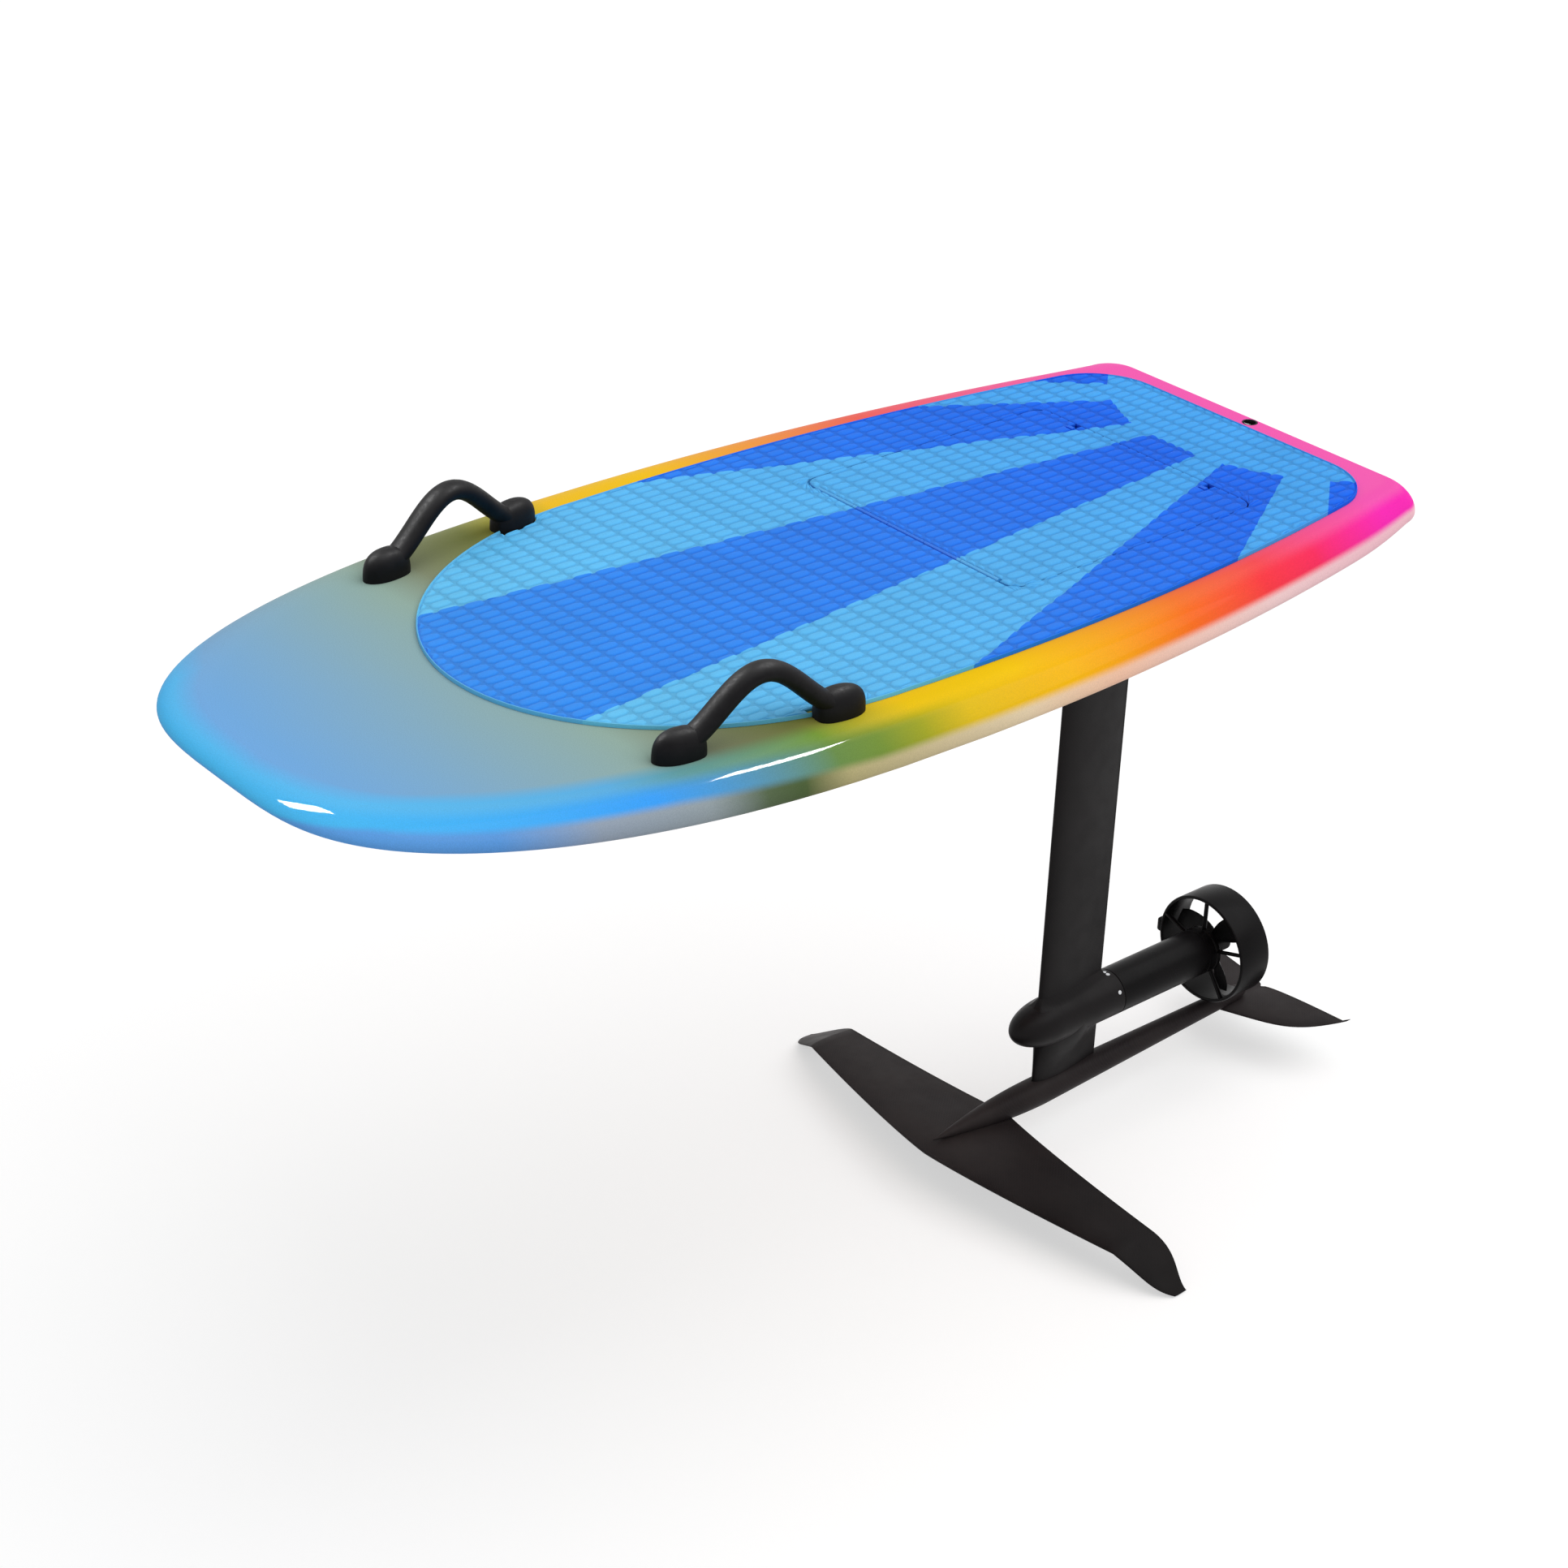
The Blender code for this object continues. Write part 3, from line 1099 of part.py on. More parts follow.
def make_housing(looks):
    """The motor housing: a spigot in the pod, a front wall and a long bore open at the rear."""
    wall, bearing_room = HOUSING_FRONT_WALL, BEARING_RADIUS + SEAT_GAP
    pocket = wall - BEARING_LENGTH - SEAT_GAP
    profile = [(0.0, -SPIGOT_LENGTH), (SPIGOT_RADIUS, -SPIGOT_LENGTH), (SPIGOT_RADIUS, 0.0)]
    profile += [(POD_RADIUS, 0.0), (POD_RADIUS, HOUSING_LENGTH), (HOUSING_BORE, HOUSING_LENGTH)]
    profile += [(HOUSING_BORE, wall), (bearing_room, wall), (bearing_room, pocket), (0.0, pocket)]
    housing = on_motor_axis(turned("motor_housing", profile, FINE_SIDES, looks["carbon"]), HOUSING_FRONT_Y)
    room = LEAD_RADIUS + LEAD_GAP
    hole = cylinder("lead_hole", room, -SPIGOT_LENGTH * 2, wall * 2, SMALL_SIDES)
    cut(housing, placed(hole, (0.0, HOUSING_FRONT_Y, POD_Z + LEAD_ABOVE_AXIS), ALONG_Y))
    radius, reach = POD_SCREW_RADIUS + TURN_GAP, POD_SCREW_LENGTH + SEAT_GAP
    for angle in POD_SCREW_ANGLES:
        for mirrored in (angle, 180.0 - angle):
            place, turn, _ = pod_screw_frame(mirrored)
            cut(housing, placed(cylinder("hole", radius, 0.0, reach, SMALL_SIDES), place, turn))


def make_motor(looks):
    """Stator, rotor, shaft, bearings and seal; hands back the pieces that turn."""
    stator_y = HOUSING_FRONT_Y + STATOR_FROM_FRONT
    sizes = (HOUSING_BORE - SEAT_GAP, STATOR_INNER_RADIUS, 0.0, STATOR_LENGTH)
    on_motor_axis(bush("motor_stator", *sizes, FINE_SIDES, looks["copper"]), stator_y)
    sizes = (STATOR_INNER_RADIUS - AIR_GAP, SHAFT_BORE, 0.0, STATOR_LENGTH - ROTOR_SHORTER)
    rotor = bush("motor_rotor", *sizes, ROUND_SIDES, looks["steel"])
    on_motor_axis(rotor, stator_y + ROTOR_SHORTER / 2)
    shaft_front = HOUSING_FRONT_Y + HOUSING_FRONT_WALL - BEARING_LENGTH
    shaft_length = HUB_REAR_Y + SHAFT_IN_NUT - shaft_front
    shaft = cylinder("propeller_shaft", SHAFT_RADIUS, 0.0, shaft_length, ROUND_SIDES, looks["steel"])
    on_motor_axis(shaft, shaft_front)
    plug_front = GUARD_FRONT_Y - PLUG_LENGTH
    for name, y in (("bearing_front", shaft_front), ("bearing_rear", plug_front)):
        sizes = (BEARING_RADIUS, SHAFT_BORE, 0.0, BEARING_LENGTH)
        on_motor_axis(bush(name, *sizes, ROUND_SIDES, looks["steel"]), y)
    seal = bush("shaft_seal", SEAL_RADIUS, SHAFT_BORE, 0.0, SEAL_LENGTH, ROUND_SIDES, looks["rubber"])
    on_motor_axis(seal, STRUT_REAR_Y - SEAL_LENGTH)
    return rotor, shaft


def make_guard(looks):
    """The guard ring on its struts, in one piece with the plug that closes the motor housing."""
    plug = -PLUG_LENGTH
    bearing_room, seal_room = BEARING_RADIUS + SEAT_GAP, SEAL_RADIUS + SEAT_GAP
    bore = SHAFT_RADIUS + 3 * TURN_GAP
    bearing_end = plug + BEARING_LENGTH + SEAT_GAP
    seal_start = STRUT_LENGTH - SEAL_LENGTH - SEAT_GAP
    plug_radius = HOUSING_BORE - SEAT_GAP
    profile = [(plug_radius, plug), (plug_radius, 0.0), (POD_RADIUS, 0.0), (POD_RADIUS, STRUT_LENGTH)]
    profile += [(seal_room, STRUT_LENGTH), (seal_room, seal_start), (bore, seal_start)]
    profile += [(bore, bearing_end), (bearing_room, bearing_end), (bearing_room, plug)]
    guard = turned("propeller_guard", profile, FINE_SIDES, looks["carbon"], hollow=True)
    on_motor_axis(guard, GUARD_FRONT_Y)
    middle = (GUARD_RADIUS + GUARD_BORE) / 2
    inside = POD_RADIUS - HOUSING_WALL
    for index in range(GUARD_STRUTS):
        angle = math.pi / 2 + math.tau * index / GUARD_STRUTS
        half = STRUT_THICKNESS / 2
        strut = block("strut", (inside, 0.0, -half), (middle, STRUT_LENGTH, half))
        join(guard, placed(strut, (0.0, GUARD_FRONT_Y, POD_Z), (0.0, -angle, 0.0)))
    ring = bush("ring", GUARD_RADIUS, GUARD_BORE, 0.0, GUARD_LENGTH, FINE_SIDES)
    join(guard, on_motor_axis(ring, GUARD_FRONT_Y))
    lug_low = (-GUARD_RADIUS - LUG_WIDTH, GUARD_FRONT_Y + SEAT_GAP, POD_Z - LUG_HEIGHT / 2)
    lug_high = (-middle, GUARD_FRONT_Y + LUG_LENGTH, POD_Z + LUG_HEIGHT / 2)
    join(guard, block("lug", lug_low, lug_high))


def blade_rings():
    """Sections of one blade, standing along Z, each set at its pitch."""
    steps, sides = 6, 8
    root, tip = HUB_RADIUS - BLADE_ROOT_IN_HUB, GUARD_BORE - BLADE_TIP_GAP
    rings = []
    for step in range(steps + 1):
        share = step / steps
        radius = root + (tip - root) * share
        chord = BLADE_ROOT_CHORD + BLADE_CHORD_SWELL * math.sin(math.pi * share)
        if step == steps:
            chord = BLADE_TIP_CHORD
        thickness = BLADE_THICKNESS + (BLADE_TIP_THICKNESS - BLADE_THICKNESS) * share
        pitch = math.atan2(BLADE_PITCH, math.tau * radius)
        ring = []
        for corner in range(sides):
            angle = math.tau * corner / sides
            along, off = chord / 2 * math.cos(angle), thickness / 2 * math.sin(angle)
            x = along * math.cos(pitch) - off * math.sin(pitch)
            y = along * math.sin(pitch) + off * math.cos(pitch)
            ring.append((x, y, radius))
        rings.append(ring)
    return rings


def make_propeller(looks):
    """Hub and blades in one piece, and the nut that holds them on the shaft."""
    hub = bush("propeller", HUB_RADIUS, SHAFT_BORE, 0.0, HUB_LENGTH, ROUND_SIDES, looks["plastic"])
    on_motor_axis(hub, HUB_FRONT_Y)
    for index in range(BLADES):
        turn = math.radians(BLADE_START_ANGLE) + math.tau * index / BLADES
        blade = loft("blade", blade_rings())
        join(hub, placed(blade, (0.0, HUB_FRONT_Y + HUB_LENGTH / 2, POD_Z), (0.0, turn, 0.0)))
    profile = [(0.0, SHAFT_IN_NUT), (SHAFT_BORE, SHAFT_IN_NUT), (SHAFT_BORE, 0.0), (NUT_RADIUS, 0.0)]
    profile += [(NUT_RADIUS, NUT_LENGTH / 2), (NUT_CROWN_RADIUS, NUT_CROWN_AT), (0.0, NUT_LENGTH)]
    nut = turned("propeller_nut", profile, SMALL_SIDES, looks["steel"])
    on_motor_axis(nut, HUB_REAR_Y + SEAT_GAP)
    return hub, nut


def fuselage_taper(y):
    """Share of the fuselage's taper done at a station, from the end of its nose to its tail."""
    start = FUSELAGE_NOSE_Y + FUSELAGE_NOSE_LENGTH
    return max(0.0, (y - start) / (FUSELAGE_TAIL_Y - start))


def fuselage_radius(y):
    """The fuselage's radius: a pointed nose, then a long taper to the tail."""
    from_nose = (y - FUSELAGE_NOSE_Y) / FUSELAGE_NOSE_LENGTH
    if from_nose < 1.0:
        return FUSELAGE_RADIUS * (1.0 - (1.0 - from_nose) ** 2)
    radius = FUSELAGE_RADIUS + (FUSELAGE_TAIL_RADIUS - FUSELAGE_RADIUS) * fuselage_taper(y)
    from_tail = (FUSELAGE_TAIL_Y - y) / FUSELAGE_TAIL_ROUND
    if from_tail < 1.0:
        radius *= math.sqrt(1.0 - (1.0 - from_tail) ** 2)
    return radius


def wing_stations():
    """The front wing from its root to a tip: span, height, leading edge, chord and thickness."""
    steps, tip_steps = 5, 4
    stations = []
    for step in range(steps + 1):
        share = step / steps
        chord = WING_ROOT_CHORD + (WING_CREASE_CHORD - WING_ROOT_CHORD) * share
        lead = WING_LEAD_Y + WING_CREASE_SWEEP * share ** WING_SWEEP_POWER
        z = WING_Z - WING_ANHEDRAL * share ** WING_ANHEDRAL_POWER
        thickness = WING_ROOT_THICKNESS + (WING_CREASE_THICKNESS - WING_ROOT_THICKNESS) * share
        stations.append((WING_CREASE_X * share, z, lead, chord, thickness))
    bend = math.radians(WING_TIP_ANGLE)
    crease_x, crease_z, crease_lead, crease_chord, _ = stations[-1]
    for step in range(1, tip_steps + 1):
        share = step / tip_steps
        out = WING_TIP_LENGTH * share
        chord = crease_chord + (WING_TIP_CHORD - crease_chord) * share ** 2
        set_back = WING_TIP_SET_BACK * (crease_chord - WING_TIP_SWEEP - chord) * share ** 3
        lead = crease_lead + WING_TIP_SWEEP * share + set_back
        x, z = crease_x + out * math.cos(bend), crease_z - out * math.sin(bend)
        stations.append((x, z, lead, chord, WING_CREASE_THICKNESS * chord / crease_chord))
    return stations


def stabiliser_stations():
    """The stabiliser from its root to a tip."""
    steps = 6
    tail_start = STABILISER_LEAD_Y + STABILISER_ROOT_CHORD
    stations = []
    for step in range(steps + 1):
        share = step / steps
        lead = STABILISER_LEAD_Y + STABILISER_SWEEP * share
        lead += STABILISER_TIP_SWEEP * share ** STABILISER_TIP_POWER
        tail = tail_start + STABILISER_TAIL_SWEEP * math.sqrt(share)
        chord = max(tail - lead, STABILISER_TIP_CHORD)
        thickness = STABILISER_THICKNESS * chord / STABILISER_ROOT_CHORD
        stations.append((STABILISER_HALF_SPAN * share, STABILISER_Z, lead, chord, thickness))
    return stations


def wing_solid(name, stations, grown=0.0, look=None):
    """A wing lofted from tip to tip through its stations."""
    spread = [(-x, *rest) for x, *rest in reversed(stations[1:])] + stations
    rings = []
    for x, z, lead, chord, thickness in spread:
        loop = foil_loop(chord, thickness, grown)
        rings.append([(x, lead + along, z + half) for along, half in loop])
    return loft(name, rings, look)


def add_foil_bolts(kind, places, seat_z, sizes, reach, pieces, looks):
    """Two bolts from below, with their holes cut in the pieces that they hold."""
    head_radius, head_height, radius = sizes
    for end, y in zip(("front", "rear"), places):
        seat = Vector((0.0, y, seat_z))
        for piece in pieces:
            cut(piece, placed(headed_hole(head_radius, FUSELAGE_RADIUS, radius, reach), seat))
        bolt = headed(kind + "_" + end, head_radius, head_height, radius, reach, looks["steel"])
        placed(bolt, seat - Vector((0.0, 0.0, SEAT_GAP)))


def make_fuselage(looks):
    """The fuselage, with its slot for the mast and seats for both wings."""
    nose_steps, tail_steps = 7, 5
    tail_start = FUSELAGE_TAIL_Y - FUSELAGE_TAIL_ROUND
    places = []
    for step in range(1, nose_steps + 1):
        places.append(FUSELAGE_NOSE_Y + FUSELAGE_NOSE_LENGTH * step / nose_steps)
    for step in range(tail_steps):
        places.append(tail_start + FUSELAGE_TAIL_ROUND * math.sin(math.pi / 2 * step / tail_steps))
    profile = [(0.0, 0.0)] + [(fuselage_radius(y), y - FUSELAGE_NOSE_Y) for y in places]
    profile.append((0.0, FUSELAGE_TAIL_Y - FUSELAGE_NOSE_Y))
    fuselage = turned("fuselage", profile, ROUND_SIDES, looks["carbon"])
    for vertex in fuselage.data.vertices:
        vertex.co.y -= FUSELAGE_TAIL_LIFT * fuselage_taper(FUSELAGE_NOSE_Y + vertex.co.z)
    placed(fuselage, (0.0, FUSELAGE_NOSE_Y, FUSELAGE_Z), ALONG_Y)
    slot_top = FUSELAGE_Z + FUSELAGE_RADIUS * 2
    cut(fuselage, prism("slot", mast_outline(SEAT_GAP), MAST_FOOT_Z - SEAT_GAP, slot_top))
    cut(fuselage, wing_solid("wing_seat", wing_stations()[:2], SEAT_GAP))
    cut(fuselage, wing_solid("stabiliser_seat", stabiliser_stations()[:2], SEAT_GAP))
    return fuselage


def make_foil(looks):
    """Fuselage, front wing, stabiliser and their bolts."""
    fuselage = make_fuselage(looks)
    wing = wing_solid("front_wing", wing_stations(), look=looks["carbon"])
    stabiliser = wing_solid("stabiliser", stabiliser_stations(), look=looks["carbon"])
    sizes = (FOIL_BOLT_HEAD_RADIUS, FOIL_BOLT_HEAD_HEIGHT, FOIL_BOLT_RADIUS)
    places = [MAST_LEAD_Y + back for back in FOIL_BOLT_BACK]
    reach = FOIL_BOLT_SEAT + FOIL_BOLT_REACH - SEAT_GAP
    add_foil_bolts("mast_foot_bolt", places, FUSELAGE_Z - FOIL_BOLT_SEAT, sizes, reach, [fuselage], looks)
    sizes = (WING_BOLT_HEAD_RADIUS, WING_BOLT_HEAD_HEIGHT, WING_BOLT_RADIUS)
    places = [WING_LEAD_Y + back for back in WING_BOLT_BACK]
    reach = WING_DROP + WING_BOLT_RADIUS
    add_foil_bolts("wing_bolt", places, WING_Z, sizes, reach, [wing, fuselage], looks)
    sizes = (STABILISER_HEAD_RADIUS, STABILISER_HEAD_HEIGHT, STABILISER_BOLT_RADIUS)
    places = [STABILISER_LEAD_Y + back for back in STABILISER_BOLT_BACK]
    reach = STABILISER_DROP + FUSELAGE_TAIL_LIFT * fuselage_taper(places[0]) + STABILISER_BOLT_RADIUS
    add_foil_bolts("stabiliser_bolt", places, STABILISER_Z, sizes, reach, [stabiliser, fuselage], looks)


def main():
    clear_scene()
    looks = {
        "hull": finish("hull_gloss", (0.95, 0.55, 0.20), 0.12),
        "pad": finish("pad_foam", (0.10, 0.40, 0.85), 0.85),
        "lid": finish("lid_composite", (0.55, 0.58, 0.60), 0.35),
        "rubber": finish("black_rubber", (0.02, 0.02, 0.022), 0.75),
        "plastic": finish("black_plastic", (0.03, 0.03, 0.032), 0.45),
        "carbon": finish("black_composite", (0.025, 0.024, 0.025), 0.40),
        "steel": finish("stainless_steel", (0.62, 0.62, 0.64), 0.25, 1.0),
        "metal": finish("anodised_metal", (0.05, 0.05, 0.055), 0.40, 0.8),
        "copper": finish("copper_winding", (0.60, 0.28, 0.14), 0.40, 0.6),
    }
    make_board(looks)
    hatch_pad = make_pads(looks)
    lid = make_lid(looks)
    make_gasket(looks)
    lid_leaf = make_hinge(looks)
    bolts = [make_bolt("hatch_bolt_left", BOLT_SIDE, looks)]
    bolts.append(make_bolt("hatch_bolt_right", -BOLT_SIDE, looks))
    make_battery(looks)
    controller_side = make_controller(looks)
    tube("phase_lead", lead_path(controller_side), LEAD_RADIUS, SMALL_SIDES, looks["rubber"])
    make_gland(looks)
    make_leash_plug(looks)
    make_handles(looks)
    make_mast_head(looks)
    make_mast(looks)
    make_pod(looks)
    make_housing(looks)
    rotor, shaft = make_motor(looks)
    make_guard(looks)
    propeller, nut = make_propeller(looks)
    make_foil(looks)
    carry(pivot("hatch_axis", (0.0, HATCH_FRONT_Y, HINGE_Z)), [lid, hatch_pad, lid_leaf, *bolts])
    carry(pivot("motor_axis", (0.0, HUB_FRONT_Y, POD_Z)), [rotor, shaft, propeller, nut])


main()
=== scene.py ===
"""Looks of the electric hydrofoil board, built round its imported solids.

Metres, in the solids' frame: the nose points to -Y, the tail to +Y and the deck to +Z.
"""

import json
import math

import bmesh
import bpy
from mathutils import Matrix, Vector


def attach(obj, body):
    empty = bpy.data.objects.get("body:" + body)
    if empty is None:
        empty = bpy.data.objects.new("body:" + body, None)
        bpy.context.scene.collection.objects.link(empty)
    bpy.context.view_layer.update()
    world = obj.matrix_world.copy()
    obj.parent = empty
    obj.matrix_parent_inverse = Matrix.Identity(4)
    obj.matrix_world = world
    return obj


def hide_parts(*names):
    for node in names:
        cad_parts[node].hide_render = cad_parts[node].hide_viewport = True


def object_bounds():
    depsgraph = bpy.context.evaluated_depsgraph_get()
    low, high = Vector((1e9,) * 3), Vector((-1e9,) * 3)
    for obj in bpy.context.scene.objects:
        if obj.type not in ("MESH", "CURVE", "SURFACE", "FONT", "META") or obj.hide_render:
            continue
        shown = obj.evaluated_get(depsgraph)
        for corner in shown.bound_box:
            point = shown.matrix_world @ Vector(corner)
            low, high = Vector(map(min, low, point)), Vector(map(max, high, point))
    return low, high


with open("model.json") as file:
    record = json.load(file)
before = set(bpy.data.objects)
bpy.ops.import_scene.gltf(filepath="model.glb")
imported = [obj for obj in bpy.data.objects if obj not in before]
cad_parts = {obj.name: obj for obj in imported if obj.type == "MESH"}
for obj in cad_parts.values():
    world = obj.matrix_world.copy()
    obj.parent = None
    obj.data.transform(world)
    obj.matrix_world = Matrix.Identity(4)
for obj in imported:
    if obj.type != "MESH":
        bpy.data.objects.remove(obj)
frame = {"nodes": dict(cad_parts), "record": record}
nodes = frame["nodes"]
cad_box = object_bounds()

# Board outline and section
BOARD_LENGTH = 1.595
BOARD_WIDTH = 0.768
BOARD_THICKNESS = 0.120
WIDEST_Y = -0.034
NOSE_PULL_IN = 0.072
TAIL_PULL_IN = 0.097
NOSE_ROUND_LENGTH = 0.750
NOSE_SQUARENESS = 3.59
TAIL_CORNER = 0.034
TAIL_BULGE = 0.0005
RAIL_ROUND_WIDTH = 0.050
RAIL_APEX_DEPTH = 0.038
RAIL_TUCK_WIDTH = 0.020
RAIL_TUCK_DEPTH = 0.012
RAIL_TUCK_END = 62.0
BOTTOM_BEVEL_WIDTH = 0.190
TAIL_EDGE_SHARE = 0.08
NOSE_THICKNESS = 0.062
NOSE_RISE_LENGTH = 0.760
TAIL_RISE = 0.045
TAIL_RISE_LENGTH = 0.150
NOSE_Y = -BOARD_LENGTH / 2
TAIL_Y = BOARD_LENGTH / 2
DECK_Z = BOARD_THICKNESS

# Hatch, hinge and bay
HATCH_FRONT_Y = 0.170
HATCH_REAR_Y = 0.583
HATCH_HALF_WIDTH = 0.195
HATCH_CORNER = 0.020
HATCH_SEAM = 0.0015
LEDGE_Z = 0.107
LEDGE_WIDTH = 0.020
BAY_CORNER = 0.012
BAY_FLOOR = 0.030
HINGE_HALF_LENGTH = 0.1653
HINGE_REACH = 0.0213
HINGE_FLOOR = 0.1182
HINGE_PAD_EDGE = 0.0045
HINGE_END_REACH = 0.0012
BOLT_SIDE = 0.120
BOLT_HALF_WIDTH = 0.0083
BOLT_POCKET_LOW = 0.1122
BOLT_POCKET_HIGH = 0.1178
BOLT_TRAVEL = 0.008
THUMB_HALF_WIDTH = 0.0058
THUMB_FRONT_Y = 0.5627
LEASH_Y = 0.782
LEASH_WELL_RADIUS = 0.0108
LEASH_WELL_DEPTH = 0.0183

# Deck pad
PAD_LOW_Z = 0.1203
PAD_TOP_Z = 0.1253
PAD_SIDE_MARGIN = 0.0735
PAD_MARGIN_TAPER = 0.022
PAD_FRONT_Y = -0.497
PAD_REAR_Y = 0.7595
PAD_NOSE_LENGTH = 0.397
PAD_CORNER = 0.095
PAD_RIM = 0.0022
RIM_SHOULDER = 0.2
RIM_SHOULDER_DROP = 0.0003
BRICK_START = (-0.394, -0.5035)
BRICK_WIDTH = 0.0160
BRICK_LENGTH = 0.0298
BRICK_CORNER = (0.0036, 0.0062)
GROOVE_WIDTH = 0.0018
BRICK_ROUND = 0.0050
BRICK_CROWN = 0.0022
BRICK_LEVELS = ((0.0, 1.0), (0.2, 0.55), (0.5, 0.2), (1.0, 0.0))
BRICK_CORNER_REACH = 1.3
BRICK_MOST_REACH = 0.75
SMALLEST_BRICK = 0.000016
SHEET_TOP_Z = PAD_TOP_Z - BRICK_CROWN

# Grab handles
HANDLE_FRONT_Y = -0.403
HANDLE_SPACING = 0.2035
HANDLE_FRONT_MARGIN = 0.0175
HANDLE_REAR_MARGIN = 0.0085
HANDLE_RISE = 0.0767
HANDLE_ARCH_POWER = 1.775
GRIP_WIDTH = 0.031
GRIP_THICKNESS = 0.0235
GRIP_DECK_GAP = 0.002
FOOT_LENGTH = 0.064
FOOT_WIDTH = 0.036
FOOT_HEIGHT = 0.034
FOOT_DOME_POWERS = (3.27, 2.4)
FOOT_TOP_SHARE = 0.995
FOOT_FAR_SQUARENESS = 2.0
FOOT_NEAR_SQUARENESS = 3.0
FOOT_NOTCH_GAP = 0.0015

# Mast, pod and motor
MAST_LEAD_Y = 0.470
MAST_CHORD = 0.122
MAST_THICKNESS = 0.0175
MAST_TOP_Z = -0.006
MAST_FOOT_Z = -0.818
MAST_EDGE = 0.0004
POD_Z = -0.711
POD_RADIUS = 0.034
POD_NOSE_Y = 0.423
POD_NOSE_LENGTH = 0.070
POD_TAIL_Y = 0.612
POD_SEAM = 0.0003
POD_EDGE = 0.0008
POD_SCREW_ANGLES = (30.0, 84.0)
POD_SCREW_Y = 0.603
POD_SCREW_ROOM = 0.0034
POD_SCREW_SEAT = 0.0322
FAIRING = 0.011
SKIRT_DROP = 0.090
SKIRT_SWELL_SHARE = 0.45
SKIRT_SWELL_POWER = 0.7
HOUSING_FRONT_Y = 0.6123
HOUSING_REAR_Y = 0.7993
HOUSING_BORE = 0.030
HOUSING_GROOVE = 0.0008
HOUSING_GROOVE_ENDS = (0.016, 0.014)
GUARD_FRONT_Y = 0.7996
GUARD_RADIUS = 0.082
GUARD_WALL = 0.005
GUARD_LENGTH = 0.058
GUARD_EDGE = 0.0012
GUARD_STRUTS = 5
STRUT_THICKNESS = 0.005
STRUT_LENGTH = 0.008
PLUG_LENGTH = 0.030
PLUG_BORE = 0.0113
LUG_WIDTH = 0.008
LUG_LENGTH = 0.020
LUG_HEIGHT = 0.022
LUG_ROUND = 0.0039
BLADES = 3
BLADE_START_ANGLE = 40.0
BLADE_TIP = 0.0725
BLADE_TIP_START = 0.8
BLADE_PITCH = 0.120
BLADE_ROOT_CHORD = 0.030
BLADE_CHORD_SWELL = 0.012
BLADE_TIP_CHORD = 0.024
BLADE_THICKNESS = 0.0050
BLADE_TIP_THICKNESS = 0.0018
BLADE_ROOT_DEPTH = 0.004
HUB_RADIUS = 0.015
HUB_BORE = 0.0064
HUB_FRONT_Y = 0.8106
HUB_LENGTH = 0.038
HUB_EDGE = 0.001

# Foil
FUSELAGE_Z = -0.8275
FUSELAGE_NOSE_Y = 0.282
FUSELAGE_TAIL_Y = 0.910
FUSELAGE_RADIUS = 0.0215
FUSELAGE_NOSE_LENGTH = 0.200
FUSELAGE_TAIL_RADIUS = 0.0115
FUSELAGE_TAIL_LIFT = 0.008
FUSELAGE_TAIL_ROUND = 0.030
WING_LEAD_Y = 0.267
WING_Z = -0.8415
WING_ROOT_CHORD = 0.157
WING_CREASE_CHORD = 0.078
WING_CREASE_SWEEP = 0.060
WING_CREASE_X = 0.310
WING_ANHEDRAL = 0.014
WING_TIP_LENGTH = 0.089
WING_TIP_ANGLE = 30.5
WING_TIP_SWEEP = 0.034
WING_TIP_CHORD = 0.022
WING_TIP_SET_BACK = 0.5
WING_SWEEP_POWER = 1.35
WING_ANHEDRAL_POWER = 1.5
WING_ROOT_THICKNESS = 0.018
WING_CREASE_THICKNESS = 0.0082
STABILISER_LEAD_Y = 0.848
STABILISER_Z = -0.8315
STABILISER_ROOT_CHORD = 0.099
STABILISER_HALF_SPAN = 0.143
STABILISER_SWEEP = 0.060
STABILISER_TIP_SWEEP = 0.070
STABILISER_TIP_POWER = 6
STABILISER_TIP_CHORD = 0.0084
STABILISER_TAIL_SWEEP = 0.028
STABILISER_THICKNESS = 0.009
FOIL_SERIES = (0.2969, -0.126, -0.3516, 0.2843, -0.1036)
FOIL_EDGE = 0.0008
FOOT_BOLTS = ((0.500, 0.0054), (0.550, 0.0054))
FOOT_BOLT_SEAT = 0.008
WING_BOLTS = ((0.344, 0.0046), (0.377, 0.0046))
STABILISER_BOLTS = ((0.864, 0.0040), (0.886, 0.0040))

# Places along the board where its colours change, with the colour there
# On the deck, the olive stops from -0.36 to -0.26 are partly the paint's fade and partly painted shade of
# the handles.
DECK_FADE_AND_HANDLE_SHADE = (
    (-0.78, "70AEEC"), (-0.43, "98B3A8"), (-0.36, "8B9376"), (-0.26, "8A9052"), (-0.18, "BAB03A"),
    (-0.13, "F6C42A"), (0.02, "FAC71F"), (0.36, "F5695C"), (0.75, "FC64B8"),
)
EDGE_FADE = (
    (-0.80, "5CC4FD"), (-0.50, "61B3E6"), (-0.42, "69A4A8"), (-0.25, "80A443"), (-0.12, "F2C80E"),
    (0.04, "FCCB0A"), (0.30, "FB7C32"), (0.46, "FC5056"), (0.72, "FC5AB8"),
)
RAIL_FADE = (
    (-0.80, "50C4FE"), (-0.47, "37A2FC"), (-0.25, "6A8E48"), (-0.19, "759335"), (-0.13, "A2A61E"),
    (-0.06, "E6C010"), (0.10, "FBBC0C"), (0.30, "FC711F"), (0.44, "FC3C44"), (0.56, "FC2F60"),
    (0.72, "FD29B7"),
)
